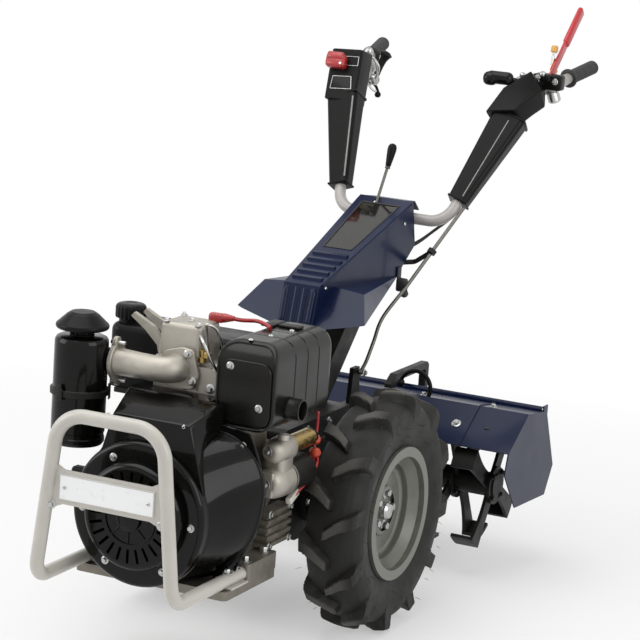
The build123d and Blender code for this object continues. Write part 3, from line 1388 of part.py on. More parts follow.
# Hand levers: the flat knob on the left head and the clutch lever under the right bar
with BuildPart() as hand_levers:
    left_foot = Vector(bar_elbow, axle_y + bar_pivot[0], bar_pivot[1])
    head_end = left_foot + leg_vector * cover_finish + leg_vector.normalized() * handle_head_height
    with BuildSketch(Plane(origin=head_end + Vector(-knob_shift, 0, -knob_drop), z_dir=(-1, 0, 0))):
        Circle(knob_stem)
    extrude(amount=knob_reach)
    with BuildSketch(Plane(origin=head_end + Vector(-knob_shift - knob_reach, 0, -knob_drop), x_dir=(0, 1, 0),
                           z_dir=(-1, 0, 0))):
        SlotOverall(knob_width, knob_height)
    extrude(amount=knob_depth)
    bar_slope = Vector(-(bar_end[0] - bar_knee[0]), bar_end[1] - bar_knee[1], bar_end[2] - bar_knee[2])
    clutch_pivot = Vector(-bar_knee[0], axle_y + bar_knee[1], bar_knee[2]) + bar_slope * clutch_share
    clutch_side = Vector(clutch_offset[0], 0, clutch_offset[1])
    with BuildSketch(Plane(origin=clutch_pivot, x_dir=clutch_side, z_dir=bar_slope.normalized())):
        with Locations((clutch_side.length / 2, 0)):
            Rectangle(clutch_side.length + clutch_blade, clutch_blade)
        Circle(bar_radius + clutch_blade / 3)
    extrude(amount=clutch_perch)
    with BuildSketch(Plane(origin=clutch_pivot + clutch_side, x_dir=clutch_side, z_dir=bar_slope.normalized())):
        Rectangle(clutch_blade / 3, clutch_blade)
    extrude(amount=clutch_reach)
    add(handlebar_tube.part, mode=Mode.SUBTRACT)
    add(handle_heads.part, mode=Mode.SUBTRACT)
finish(hand_levers, "hand_levers")

# Recoil starter's handle on the shroud's right side
with BuildPart() as recoil_handle:
    with BuildSketch(Plane(origin=side(-handle_y, handle_z, -shroud_side - handle_width), z_dir=(1, 0, 0))):
        SlotOverall(handle_height, handle_depth, rotation=90)
    extrude(amount=handle_width)
    with BuildSketch(Plane(origin=side(-handle_y, handle_z, -shroud_side), z_dir=(1, 0, 0))):
        Circle(handle_depth / 4)
    extrude(amount=handle_depth * 0.7)
    add(fan_shroud.part, mode=Mode.SUBTRACT)
finish(recoil_handle, "recoil_handle")
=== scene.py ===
import json
import bmesh
import bpy
import numpy as np
from mathutils import Matrix, Vector


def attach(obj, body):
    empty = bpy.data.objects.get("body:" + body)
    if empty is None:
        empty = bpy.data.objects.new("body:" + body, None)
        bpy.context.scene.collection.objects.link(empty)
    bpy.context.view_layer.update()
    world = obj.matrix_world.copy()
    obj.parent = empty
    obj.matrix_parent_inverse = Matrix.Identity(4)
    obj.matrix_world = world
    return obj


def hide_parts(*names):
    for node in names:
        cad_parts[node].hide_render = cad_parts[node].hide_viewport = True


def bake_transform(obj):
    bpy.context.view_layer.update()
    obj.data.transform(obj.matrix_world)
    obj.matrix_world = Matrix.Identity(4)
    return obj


# A two-wheel hand tractor with a diesel engine in front and a rotary tiller behind.
# The scene is in metres, +Z up, -Y forwards, +X the machine's left. Shapes are drawn in millimetres, as
# (across, behind the axle, up), and makePiece turns them to metres.

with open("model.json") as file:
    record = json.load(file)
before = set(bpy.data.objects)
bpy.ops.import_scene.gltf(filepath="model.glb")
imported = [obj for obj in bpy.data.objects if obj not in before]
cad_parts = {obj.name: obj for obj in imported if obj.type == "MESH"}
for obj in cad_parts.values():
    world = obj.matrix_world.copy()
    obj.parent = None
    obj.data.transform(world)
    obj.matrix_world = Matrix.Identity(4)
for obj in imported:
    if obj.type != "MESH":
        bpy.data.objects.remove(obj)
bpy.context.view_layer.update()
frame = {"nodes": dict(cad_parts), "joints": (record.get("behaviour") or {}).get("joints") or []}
nodes = frame["nodes"]
joints = {joint["name"]: joint for joint in frame["joints"]}
axle = Vector(joints["wheel_left_spin"]["pos_m"])
mm = 0.001
wheelMiddle = np.array([joints["wheel_left_spin"]["pos_m"][0] / mm, 0, axle.z / mm])
left, back, up = np.eye(3)
sides = (1, -1)


# sRGB hex to linear: each channel c becomes c/12.92, or ((c + 0.055)/1.055)^2.4 above 0.04045
def linear(hexColour):
    channels = np.array([int(hexColour[i:i + 2], 16) for i in (1, 3, 5)]) / 255
    curve = np.where(channels <= 0.04045, channels / 12.92, ((channels + 0.055) / 1.055) ** 2.4)
    return (*curve, 1.0)


# Adds one node: settings are its properties, values its sockets' values, links the sockets' sources
def addNode(tree, kind, settings=None, values=None, links=None):
    node = tree.nodes.new(kind)
    for key, value in (settings or {}).items():
        setattr(node, key, value)
    for key, value in (values or {}).items():
        node.inputs[key].default_value = value
    for key, source in (links or {}).items():
        tree.links.new(source, node.inputs[key])
    return node


# A new material with its empty tree, its output and its surface shader
def newMaterial(name, values):
    material = bpy.data.materials.new(name)
    material.use_nodes = True
    tree = material.node_tree
    tree.nodes.clear()
    shader = addNode(tree, "ShaderNodeBsdfPrincipled", values=values)
    output = addNode(tree, "ShaderNodeOutputMaterial", links={"Surface": shader.outputs["BSDF"]})
    return material, tree, shader, output


# Noise on object coordinates whose grain is as wide as the given millimetres
def grainNoise(tree, width, detail, roughness=0.5):
    place = addNode(tree, "ShaderNodeTexCoord")
    return addNode(tree, "ShaderNodeTexNoise", values={"Scale": 1000 / width, "Detail": detail,
                                                       "Roughness": roughness},
                   links={"Vector": place.outputs["Object"]}).outputs["Fac"]


# Spreads a factor over a range: (from low, from high) becomes (to low, to high)
def spread(tree, source, fromLow, fromHigh, toLow, toHigh):
    return addNode(tree, "ShaderNodeMapRange",
                   values={"From Min": fromLow, "From Max": fromHigh, "To Min": toLow, "To Max": toHigh},
                   links={"Value": source}).outputs["Result"]


# A finish: patches of noise blend its two tones and spread its roughness, and a finer grain gives the bump.
# patch and grain are (width in mm, detail, roughness), rough is (least, most), depth is the bump's in mm
def makeFinish(name, tones, patch, rough, grain, depth, specular=0.5, coat=(0.0, 0.03), metal=0.0, ior=1.5,
               glass=0.0, patchLow=0.3):
    material, tree, shader, _ = newMaterial(name, {
        "IOR": ior, "Metallic": metal, "Specular IOR Level": specular, "Coat Weight": coat[0],
        "Coat Roughness": coat[1], "Transmission Weight": glass})
    patches = grainNoise(tree, *patch)
    mix = addNode(tree, "ShaderNodeMix", settings={"data_type": "RGBA"}, links={"Factor": patches})
    mix.inputs["A"].default_value, mix.inputs["B"].default_value = linear(tones[0]), linear(tones[1])
    tree.links.new(mix.outputs["Result"], shader.inputs["Base Color"])
    tree.links.new(spread(tree, patches, patchLow, 0.7, *rough), shader.inputs["Roughness"])
    bump = addNode(tree, "ShaderNodeBump", values={"Strength": 1.0, "Distance": depth * mm},
                   links={"Height": grainNoise(tree, *grain)})
    tree.links.new(bump.outputs["Normal"], shader.inputs["Normal"])
    return material


# Paler lug faces: the share of a pale grey tone rises with the distance from the wheels' axle, in metres
def paleLugFaces(material, start=0.2515, end=0.2575, share=0.6, paleTone="#5c5a54"):
    tree = material.node_tree
    place = addNode(tree, "ShaderNodeTexCoord")
    spot = addNode(tree, "ShaderNodeVectorMath", settings={"operation": "MULTIPLY_ADD"},
                   values={1: (0, 1, 1), 2: (0, -axle.y, -axle.z)}, links={0: place.outputs["Object"]})
    reach = addNode(tree, "ShaderNodeVectorMath", settings={"operation": "LENGTH"},
                    links={"Vector": spot.outputs["Vector"]})
    colour = tree.nodes["Principled BSDF"].inputs["Base Color"]
    paleFaceMix = addNode(tree, "ShaderNodeMix", settings={"data_type": "RGBA"},
                   links={"Factor": spread(tree, reach.outputs["Value"], start, end, 0, share),
                          "A": colour.links[0].from_socket})
    paleFaceMix.inputs["B"].default_value = linear(paleTone)
    tree.links.new(paleFaceMix.outputs["Result"], colour)


# Gloss coloured plastic or enamel of the small controls, with faint clouds 12 mm wide
def makeControlColour(name, tones):
    return makeFinish(name, tones, (12.0, 4.0), (0.25, 0.4), (12.0, 4.0), 0.03, coat=(0.3, 0.15))


# Pressure-cast aluminium, bead blasted: matt, pitted, with cloudy patches
def makeCast(name, tones):
    return makeFinish(name, tones, (28.0, 4.0), (0.4, 0.58), (1.4, 4.0, 0.6), 0.25, metal=0.75)


# Enamel on tube: semi-gloss, slightly uneven, a little dirt
def makeTubeEnamel(name, tones):
    return makeFinish(name, tones, (55.0, 5.0), (0.34, 0.48), (3.0, 2.0), 0.06, coat=(0.4, 0.2))


# Smooth plated or burnished metal with faint mottling 6 mm wide
def makePlate(name, tones):
    return makeFinish(name, tones, (6.0, 4.0), (0.22, 0.42), (6.0, 4.0), 0.05, metal=1.0)


finishes = {
    # Enamel on steel sheet: a clear gloss over a slight orange peel, dusty in patches
    "navy": makeFinish("NavyEnamelSprayed", ("#0a1430", "#0e1b3a"), (90.0, 4.0), (0.26, 0.38), (4.0, 2.0),
                       0.05, specular=0.14, coat=(0.14, 0.1)),
    # Black enamel on pressed steel: deep gloss, faint peel, light dust that dulls the gloss
    "blackEnamel": makeFinish("BlackEnamelPressing", ("#060606", "#0c0c0a"), (60.0, 5.0), (0.16, 0.34),
                              (5.0, 2.0), 0.04, specular=0.07, coat=(0.28, 0.04), patchLow=0.35),
    # Heat-proof black paint on the muffler: satin gloss, fine sprayed grain
    "heatPaint": makeFinish("HeatProofBlackPaint", ("#0a0a0a", "#14130f"), (70.0, 4.0), (0.22, 0.4),
                            (1.5, 2.0), 0.03, specular=0.16, coat=(0.2, 0.15), ior=1.48),
    # Satin black chassis paint: duller than enamel, slightly rough
    "chassis": makeFinish("SatinBlackChassisPaint", ("#0f0f0f", "#1d1c19"), (40.0, 5.0), (0.36, 0.56),
                          (2.0, 3.0), 0.08, specular=0.22, ior=1.48),
    "alloy": makeCast("CastAluminiumBlasted", ("#938e85", "#b9b4aa")),  # pale, clean casting
    "castShaded": makeCast("CastAluminiumPaintedShade", ("#605c54", "#8d887e")),  # the same alloy darkened: painted shade for the crankcase side, engine base, oil pump and clutch housing
    "greyTube": makeTubeEnamel("WarmGreyEnamel", ("#adaaa2", "#bfbbb3")),
    "barTube": makeTubeEnamel("GreyBarEnamel", ("#94918d", "#a9a5a1")),
    # Silver-grey wheel enamel on pressed steel: low sheen with fine metallic flake; both tones are darkened
    # below the enamel's own grey as painted shade for the deep dished disc
    "wheel": makeFinish("SilverWheelEnamel", ("#5f6059", "#7f8078"), (35.0, 5.0), (0.32, 0.5), (1.0, 1.0),
                        0.03, metal=0.35),
    # Moulded tyre rubber: matt black with a grey bloom in patches and fine grain
    "tyre": makeFinish("MouldedTyreRubber", ("#0e0e0c", "#1c1b18"), (45.0, 6.0), (0.5, 0.72), (1.2, 4.0, 0.6),
                       0.25, specular=0.32, ior=1.52),
    # Soft black rubber of the grips and boots: dull, slightly dusty
    "rubber": makeFinish("SoftBlackRubber", ("#171717", "#2a2a29"), (20.0, 4.0), (0.48, 0.66), (0.8, 3.0),
                         0.1, ior=1.52),
    # Black injection-moulded plastic: satin, spark-eroded grain
    "plastic": makeFinish("BlackMouldedPlastic", ("#0d0d0d", "#151514"), (50.0, 4.0), (0.28, 0.42),
                          (0.7, 2.0), 0.05, specular=0.12, ior=1.49),
    "zinc": makePlate("BrightZincPlate", ("#9fa09e", "#c9cac8")),
    "goldZinc": makePlate("YellowZincPlate", ("#8d7743", "#b79f66")),
    "steelRod": makePlate("BurnishedSteelRod", ("#4b4945", "#6d6b66")),
    "redPlastic": makeControlColour("RedMouldedPlastic", ("#8e151a", "#a81c20")),
    "redEnamel": makeControlColour("RedLeverEnamel", ("#a5131b", "#bb1a22")),
    "white": makeControlColour("WhiteSignEnamel", ("#e6e7e7", "#eceded")),
    "orange": makeControlColour("OrangeSiliconeBoot", ("#a93a22", "#c4472a")),
    "amber": makeControlColour("AmberMouldedPlastic", ("#c08a36", "#d29b42")),
    "paleNylon": makeControlColour("PaleNylonPlug", ("#c9c5ba", "#d9d6cc")),
    # A grey strip that stands as painted highlight along the glossy black handle covers
    "paintedHighlight": makeControlColour("PaintedHighlightStrip", ("#6c6c6a", "#8a8a87")),
    # Smoked acrylic: dark, smooth, lets a little light through
    "acrylic": makeFinish("SmokedAcrylic", ("#3e3c36", "#4c4a43"), (30.0, 4.0), (0.04, 0.04), (30.0, 4.0),
                          0.02, specular=0.2, ior=1.49, glass=0.85),
}
paleLugFaces(finishes["tyre"])

nodeFinish = {
    "navy": "hood hood_wings tiller_hood tiller_shields rear_flap",
    "blackEnamel": "fan_shroud recoil_cover cylinder_cowl air_cleaner",
    "heatPaint": "muffler",
    "chassis": "handlebar_column tank_bracket tiller_case rotor_shaft rotor_left rotor_right depth_skid"
               " gearbox axle_tubes exhaust_port starter_motor rod_brackets gear_lever",
    "alloy": "cylinder_head rocker_cover lifting_eyes intake_pipe starter_housing",
    # painted shade: the crankcase side, engine base, oil pump and clutch housing take the darkened cast alloy
    "castShaded": "crankcase engine_base oil_pump clutch_housing",
    "greyTube": "front_guard guard_plate",
    "barTube": "handlebar_tube",
    "wheel": "rim_left rim_right",
    "tyre": "tyre_left tyre_right",
    "rubber": "grips control_cables",
    "plastic": "fuel_tank fuel_cap pre_cleaner handle_covers handle_heads hand_levers hitch_handle"
               " recoil_handle",
    "zinc": "hub_left hub_right hinge_pin link_rod",
    "goldZinc": "starter_solenoid",
    "redPlastic": "engine_switch battery_cable",
    "redEnamel": "locking_lever",
    "white": "sign_plate",
    "acrylic": "hood_window",
}
for finish, members in nodeFinish.items():
    for member in members.split():
        for place in nodes[member].material_slots:
            place.material = finishes[finish]
print("frame dressed:", len(nodes), "nodes")


# Angles that part a full turn evenly
def turns(count, start=0.0):
    return np.linspace(0, 2 * np.pi, count, endpoint=False) + start


# Places round a centre: radius*cos goes along one way and radius*sin goes up
def ringOf(centre, radius, angles, way=back):
    return [np.asarray(centre) + radius * (np.cos(a) * way + np.sin(a) * up) for a in angles]


# Corners of an upright outline, given as (across, up), all at one depth
def upright(outline, behind):
    return [(across, behind, high) for across, high in outline]


# Outward direction at a turn about the vertical, and the axes of a box that faces it
def facing(turn):
    out = np.array([np.cos(turn), np.sin(turn), 0])
    return out, np.array([[-out[1], out[0], 0], out, up])


# Faces of a grid of rows and columns: each cell joins a point with its three neighbours
def gridFaces(rows, columns, closeRows=False, closeColumns=False):
    row = np.arange(rows if closeRows else rows - 1)[:, None]
    column = np.arange(columns if closeColumns else columns - 1)[None, :]
    nextRow, nextColumn = (row + 1) % rows, (column + 1) % columns
    corners = [row * columns + column, row * columns + nextColumn,
               nextRow * columns + nextColumn, nextRow * columns + column]
    return np.stack(np.broadcast_arrays(*corners), axis=-1).reshape(-1, 4).tolist()


# Faces of closed rings in rows, with the first and the last ring filled where wanted
def ringFaces(rows, columns, first=True, last=True):
    faces = gridFaces(rows, columns, closeColumns=True)
    faces += [list(range(columns))[::-1]] if first else []
    return faces + ([[(rows - 1) * columns + k for k in range(columns)]] if last else [])


# Unit vectors square to an axis: the one nearest to up, or to left if it is upright, and their product
def crossPair(axisWay):
    axisWay = np.asarray(axisWay, float) / np.linalg.norm(axisWay)
    hint = left if abs(up @ axisWay) > 0.97 else up
    first = hint - (hint @ axisWay) * axisWay
    first /= np.linalg.norm(first)
    return first, np.cross(axisWay, first), axisWay


# Turned form: at angle a and profile point (r, h), place + axis*h + r*(first*cos a + second*sin a)
def turned(profile, place, axisWay, count=40, closed=True):
    profile = np.asarray(profile, float)
    first, second, along = crossPair(axisWay)
    angle = turns(count)
    around = np.cos(angle)[:, None] * first + np.sin(angle)[:, None] * second
    points = np.asarray(place) + profile[:, None, 1:2] * along + profile[:, None, 0:1] * around[None, :, :]
    return points.reshape(-1, 3), ringFaces(len(profile), count, closed and profile[0, 0] > 1e-6,
                                            closed and profile[-1, 0] > 1e-6)


# Smooth line through points: each span is a Catmull-Rom cubic of its four nearest points
def smoothLine(points, steps=8):
    points = np.asarray(points, float)
    padded = np.vstack([2 * points[0] - points[1], points, 2 * points[-1] - points[-2]])
    t = np.linspace(0, 1, steps, endpoint=False)[:, None]
    spans = [0.5 * (2 * b + (c - a) * t + (2 * a - 5 * b + 4 * c - d) * t ** 2
        + (3 * b - a - 3 * c + d) * t ** 3)
             for a, b, c, d in zip(padded, padded[1:], padded[2:], padded[3:])]
    return np.vstack(spans + [points[-1:]])


# Tube: a ring of the radius carried along the path, square to its tangent, with closed ends
def tubeAlong(path, radius, count=14):
    path = np.asarray(path, float)
    tangent = np.gradient(path, axis=0)
    tangent /= np.linalg.norm(tangent, axis=1)[:, None]
    first = np.zeros_like(path)
    first[0] = crossPair(tangent[0])[0]
    for k in range(1, len(path)):
        moved = first[k - 1] - (first[k - 1] @ tangent[k]) * tangent[k]
        first[k] = moved / np.linalg.norm(moved)
    second = np.cross(tangent, first)
    reach = np.broadcast_to(np.asarray(radius, float), (len(path),))[:, None, None]
    angle = turns(count)[None, :, None]
    points = path[:, None, :] + reach * (np.cos(angle) * first[:, None, :]
        + np.sin(angle) * second[:, None, :])
    return points.reshape(-1, 3), ringFaces(len(path), count)


# Straight tubes along each edge of a closed outline
def edgeTubes(corners, radius, steps, count):
    return [tubeAlong(np.linspace(first, second, steps), radius, count)
            for first, second in zip(corners, corners[1:] + corners[:1])]


# Rounded box: a small sphere whose eight octants are pushed apart to the box's corners
def roundedBox(place, size, radius, axes=None, steps=4):
    half = np.asarray(size, float) / 2
    radius = min(radius, half.min() * 0.999)
    quarter = np.linspace(0.0001, np.pi / 2 - 0.0001, steps)
    turn = np.concatenate([q * np.pi / 2 + quarter for q in range(4)])
    lift = np.concatenate([np.linspace(-np.pi / 2, -0.0001, steps), np.linspace(0.0001, np.pi / 2, steps)])
    lift, turn = np.meshgrid(lift, turn, indexing="ij")
    normal = np.stack([np.cos(lift) * np.cos(turn), np.cos(lift) * np.sin(turn), np.sin(lift)], axis=-1)
    corner = np.stack([np.sign(np.cos(turn)), np.sign(np.sin(turn)), np.sign(lift)], axis=-1)
    local = corner * (half - radius) + normal * radius
    points = np.asarray(place) + local @ (np.eye(3) if axes is None else np.asarray(axes, float))
    return points.reshape(-1, 3), ringFaces(*lift.shape)


# Ring of rounded corners: each is cut back by the radius and joined by a quadratic arc through steps points
def roundedRing(corners, radius, steps=6):
    corners = np.asarray(corners, float)
    before, after = np.roll(corners, 1, axis=0), np.roll(corners, -1, axis=0)
    start = corners + (before - corners) / np.linalg.norm(before - corners, axis=1)[:, None] * radius
    end = corners + (after - corners) / np.linalg.norm(after - corners, axis=1)[:, None] * radius
    t = np.linspace(0, 1, steps)[None, :, None]
    ring = (1 - t) ** 2 * start[:, None] + 2 * t * (1 - t) * corners[:, None] + t ** 2 * end[:, None]
    return ring.reshape(-1, corners.shape[1])


# Prism through outlines: rings of rounded corners, sunk and drawn in by the edge at both ends
def softPrism(rings, radius, edge=2.0, ends=(True, True)):
    rings = [np.asarray(ring, float) for ring in rings]
    layers = []
    for index, ring in enumerate(rings):
        full = roundedRing(ring, radius)
        final = index == len(rings) - 1
        if (index == 0 and ends[0]) or (final and ends[1]):
            inward = rings[-2 if final else 1].mean(axis=0) - ring.mean(axis=0)
            middleWay = full.mean(axis=0) - full
            sunk = full + inward / np.linalg.norm(inward) * edge
            drawn = full + middleWay * edge / np.linalg.norm(middleWay, axis=1)[:, None]
            layers += [sunk, drawn] if final else [drawn, sunk]
        else:
            layers.append(full)
    return np.vstack(layers), ringFaces(len(layers), len(layers[0]))


# Slab: a soft prism from an outline to the same outline moved
def slab(corners, move, radius, edge):
    return softPrism([corners, np.asarray(corners, float) + move], radius, edge)


# Hexagon bolts with washers: a six-sided turned head with a chamfered top on a thin round disc
def hexBolts(way, width, height, *places, washer=1.6):
    reach = width / 2 / np.cos(np.pi / 6)
    head = [(reach, 0), (reach, height * 0.8), (reach * 0.84, height), (0, height)]
    disc = [(width * 0.92, 0), (width * 0.92, washer * 0.7), (width * 0.85, washer), (0, washer)]
    return [surface for place in places
            for surface in (turned(head, np.asarray(place) + np.asarray(way) * washer, way, 6),
                            turned(disc, place, way, 24))]


# Pan head screws: a low dome with its recess left as a sunk dot
def panScrews(way, radius, height, *places):
    profile = [(radius, 0), (radius, height * 0.35), (radius * 0.8, height * 0.8), (radius * 0.4, height),
               (radius * 0.3, height * 0.45), (0, height * 0.45)]
    return [turned(profile, place, way, 24) for place in places]


# One object from surfaces, boxes, turned forms, smooth tubes as (radius, sides, points), bolts and screws:
# their points and faces are joined and set in metres, and edges sharper than the angle stay crisp
def makePiece(name, finish, surfaces=(), body="chassis", replaces=(), sharp=38.0,
              boxes=(), spun=(), lines=(), bolts=(), screws=()):
    surfaces = list(surfaces) + [roundedBox(*box) for box in boxes] + [turned(*form) for form in spun]
    surfaces += [tubeAlong(smoothLine(points), radius, count) for radius, count, points in lines]
    surfaces += sum([hexBolts(*row) for row in bolts], []) + sum([panScrews(*row) for row in screws], [])
    faces, start = [], 0
    for points, cells in surfaces:
        faces += [[corner + start for corner in cell] for cell in cells]
        start += len(points)
    mesh = bpy.data.meshes.new(name)
    points = np.vstack([points for points, cells in surfaces]) * mm + (0, axle.y, 0)
    mesh.from_pydata(points.tolist(), [], faces)
    mesh.materials.append(finishes[finish])
    mesh.polygons.foreach_set("use_smooth", np.ones(len(mesh.polygons), bool))
    mesh.set_sharp_from_angle(angle=np.radians(sharp))
    mesh.validate()
    form = bmesh.new()
    form.from_mesh(mesh)
    bmesh.ops.recalc_face_normals(form, faces=form.faces)
    form.to_mesh(mesh)
    form.free()
    piece = bpy.data.objects.new(name, mesh)
    bpy.context.scene.collection.objects.link(piece)
    if body:
        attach(piece, body)
    if replaces:
        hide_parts(*replaces)
    return piece


# Farm tyre: carcass and lug outlines in millimetres as (across, radius), lugs in two rows
tyreSpec = {"carcass": [(49, 127), (49, 144), (55, 160), (61, 178), (63, 194), (61, 210), (55, 224),
                        (45, 232), (31, 237), (14, 239), (0, 239.5)],
            "lug": [(49, 127), (49, 144), (55, 160), (61, 178), (63, 195), (63, 215), (63, 240), (59, 251),
                    (31, 257), (14, 257.8), (0, 258)],
            "lugs": 12, "run": 45.8, "width": 27.0, "nose": 5.0, "flank": 3.2, "around": 540, "across": 39,
            "shoulder": 63.0, "beltRadius": 250.0, "leastRadius": 200.0, "ripple": 0.25, "inset": 0.3}


# Carcass moved towards the lug outline by a mask: one inside |arc - (start - run*across)| < half the width
def makeTyre(name, side, wheelBody, spec):
    centre = wheelMiddle * (side, 1, 1)
    share, knots = np.linspace(0, 1, spec["across"]), np.linspace(0, 1, len(spec["carcass"]))
    base, top = [np.stack([np.interp(share, knots, column) for column in zip(*spec[key])], axis=1)
                 for key in ("carcass", "lug")]
    base, top = [np.vstack([half, half[-2::-1] * (-1, 1)]) for half in (base, top)]
    turn = turns(spec["around"])[:, None]
    place, radius = base[None, :, 0], base[None, :, 1]
    pitch = 2 * np.pi / spec["lugs"]
    mask = np.zeros((spec["around"], len(base)))
    for row, shift in ((1, 0.0), (-1, 0.5)):
        outward = row * side * place
        lean = spec["run"] * outward / spec["shoulder"] / spec["beltRadius"]
        offset = (turn - shift * pitch + lean + pitch / 2) % pitch - pitch / 2
        arc = np.abs(offset) * np.maximum(radius, spec["leastRadius"])
        half = spec["width"] / 2 * (0.8 + 0.45 * np.clip(outward / spec["shoulder"], 0, 1))
        flank = np.clip((half + spec["flank"] / 2 - arc) / spec["flank"], 0, 1)
        mask = np.maximum(mask, flank * np.clip((outward + spec["nose"] + 2) / 4.0, 0, 1))
    mask = mask * mask * (3 - 2 * mask)
    section = base[None] + mask[..., None] * (top - base)[None]
    reach = section[..., 1] + spec["ripple"] * np.sin(turn * 217 + place * 0.9) * mask - spec["inset"]
    points = centre + np.stack([section[..., 0], -np.sin(turn) * reach, np.cos(turn) * reach], axis=-1)
    grid = (points.reshape(-1, 3), gridFaces(spec["around"], len(base), closeRows=True))
    bore = turned([(127.0, -49), (127.0, 49)], centre, left, 120, False)
    makePiece(name, "tyre", [grid, bore], wheelBody, replaces=(name.replace("Tyre", "tyre_").lower(),),
        sharp=30)


# Moulding hairs: thin bent cones 7 to 14 mm long that stand out of the flanks, placed by a seeded generator
def makeTyreHairs(name, side, wheelBody, count=110):
    chance = np.random.default_rng(5 + side)
    centre = wheelMiddle * (side, 1, 1)
    surfaces = []
    for k in range(count):
        turn = 2 * np.pi * (k + chance.random() * 0.5) / count
        flank = 1 if k % 2 else -1
        radius = chance.choice([165, 188, 206, 236]) + chance.random() * 4
        across = flank * np.interp(radius, [144, 165, 188, 206, 240], [49, 57, 62.3, 61.4, 60.0])
        radial = np.array([0, -np.sin(turn), np.cos(turn)])
        way = radial * 0.45 + left * flank * 0.8 + chance.normal(0, 0.25, 3)
        way /= np.linalg.norm(way)
        foot = centre + left * across + radial * radius
        length = 7 + 7 * chance.random()
        path = [foot - way * 0.5, foot, foot + way * length * 0.6 - up * 0.8, foot + way * length - up * 2.2]
        surfaces.append(tubeAlong(path, [0.55, 0.5, 0.4, 0.2], 5))
    makePiece(name, "tyre", surfaces, wheelBody)


for side, word in zip(sides, ("Left", "Right")):
    makeTyre("Tyre" + word, side, "wheel_" + word.lower(), tyreSpec)
    makeTyreHairs("TyreHairs" + word, side, "wheel_" + word.lower())
print("tyres ready")

# Pressed bowl: its rear outline round the crank, and rows of its profile as (depth, radius) from that
# outline's rim and from the drum. The duct above it goes from the cowl's outline to a narrower one
shroudSpec = {"crank": (0.0, 345.0), "rear": [(-108, 212), (108, 212), (188, 298), (208, 398), (194, 456),
                                              (140, 502), (-124, 502), (-138, 430), (-176, 372), (-170, 298)],
              "soften": 7, "back": 500.0, "drum": 146.0, "drumBack": 608.0, "drumFront": 634.0, "round": 12,
              "rimRows": [(0.2, -6), (0.2, 5), (1.5, 6), (8.5, 6), (10, 4.8), (10.5, 1.5)],
              "ductRear": [(-108, 400), (108, 400), (108, 560), (-108, 560)], "ductBack": -500.5,
              "ductFront": [(-112, 400), (138, 400), (100, 537), (-72, 537)], "ductNose": -618.0}


# Radius of the polygon's edge in each direction round the crank, softened by a running mean along the turn
def outlineReach(corners, centre, angles, soften):
    corners = np.asarray(corners, float) - centre
    way = np.stack([np.cos(angles), np.sin(angles)], axis=1)
    edge = np.roll(corners, -1, axis=0) - corners
    cross = way[:, None, 0] * edge[None, :, 1] - way[:, None, 1] * edge[None, :, 0]
    with np.errstate(divide="ignore", invalid="ignore"):
        reach = (corners[None, :, 0] * edge[None, :, 1] - corners[None, :, 1] * edge[None, :, 0]) / cross
        along = (corners[None, :, 0] * way[:, None, 1] - corners[None, :, 1] * way[:, None, 0]) / cross
    reach = np.where((reach > 0) & (along >= -1e-9) & (along <= 1 + 1e-9), reach, np.inf).min(axis=1)
    for _ in range(2):
        reach = np.mean([np.roll(reach, k) for k in range(-soften, soften + 1)], axis=0)
    return reach


# Bowl: at angle a and depth share s, radius goes from the rear outline to the drum's with an eased step
def makeShroud(spec):
    angles = turns(288)
    across, high = spec["crank"]
    rear = outlineReach(spec["rear"], spec["crank"], angles, spec["soften"])
    behind, drumBack, drumFront = spec["back"], spec["drumBack"], spec["drumFront"]
    drum, curve = spec["drum"], spec["round"]
    rows = [(behind + depth, rear + reach) for depth, reach in spec["rimRows"]]
    for share in np.linspace(0, 1, 12):
        ease = 0.75 * share + 0.25 * share * share * (3 - 2 * share)
        rows.append((behind + 13 + (drumBack - behind - 15) * share, rear + (drum + 2 - rear) * ease))
    rows += [(drumBack, drum + 0.8), (drumBack + 2, drum)]
    rows += [(drumFront - curve + curve * np.sin(lean), drum - curve + curve * np.cos(lean))
             for lean in np.linspace(0, np.pi / 2, 8)]
    rows += [(drumFront - 0.2, drum - 20), (drumFront - 0.3, 60.0), (drumFront - 0.3, 1.0)]
    points = np.vstack([np.stack([across + reach * np.cos(angles), np.full_like(angles, -depth),
                                  high + reach * np.sin(angles)], axis=1) for depth, reach in rows])
    makePiece("ShroudBowl", "blackEnamel", [(points, ringFaces(len(rows), len(angles), first=False))],
              replaces=("fan_shroud",), sharp=50)
    duct = [upright(spec["ductRear"], spec["ductBack"]), upright(spec["ductFront"], spec["ductNose"])]
    makePiece("ShroudDuct", "blackEnamel", [softPrism(duct, 7.0, 3.0, (False, True))], sharp=40)


makeShroud(shroudSpec)
print("shroud ready")

# Intake elbow: its run and radii, the oval plate at the cleaner, that flange's ears, the face at the head
elbowSpec = {"run": [(-146, -488, 604), (-120, -488, 604), (-88, -490, 604), (-58, -491, 604),
                     (-34, -486, 604),
                     (-24, -472, 605), (-22, -456, 605)], "radii": [28, 27, 26, 26, 27, 28, 30],
             "plate": (-140, -488, 604), "plateReach": (36, 38),
             "ears": [(-145, -490, 643), (-145, -482, 566)],
             "face": [(-60, 584), (-54, 636), (-14, 648), (12, 645), (27, 592), (14, 566), (-16, 563),
             (-50, 568)],
             "faceBack": -461.2, "headBolts": [(0, -461.3, 636), (13, -461.3, 583)]}


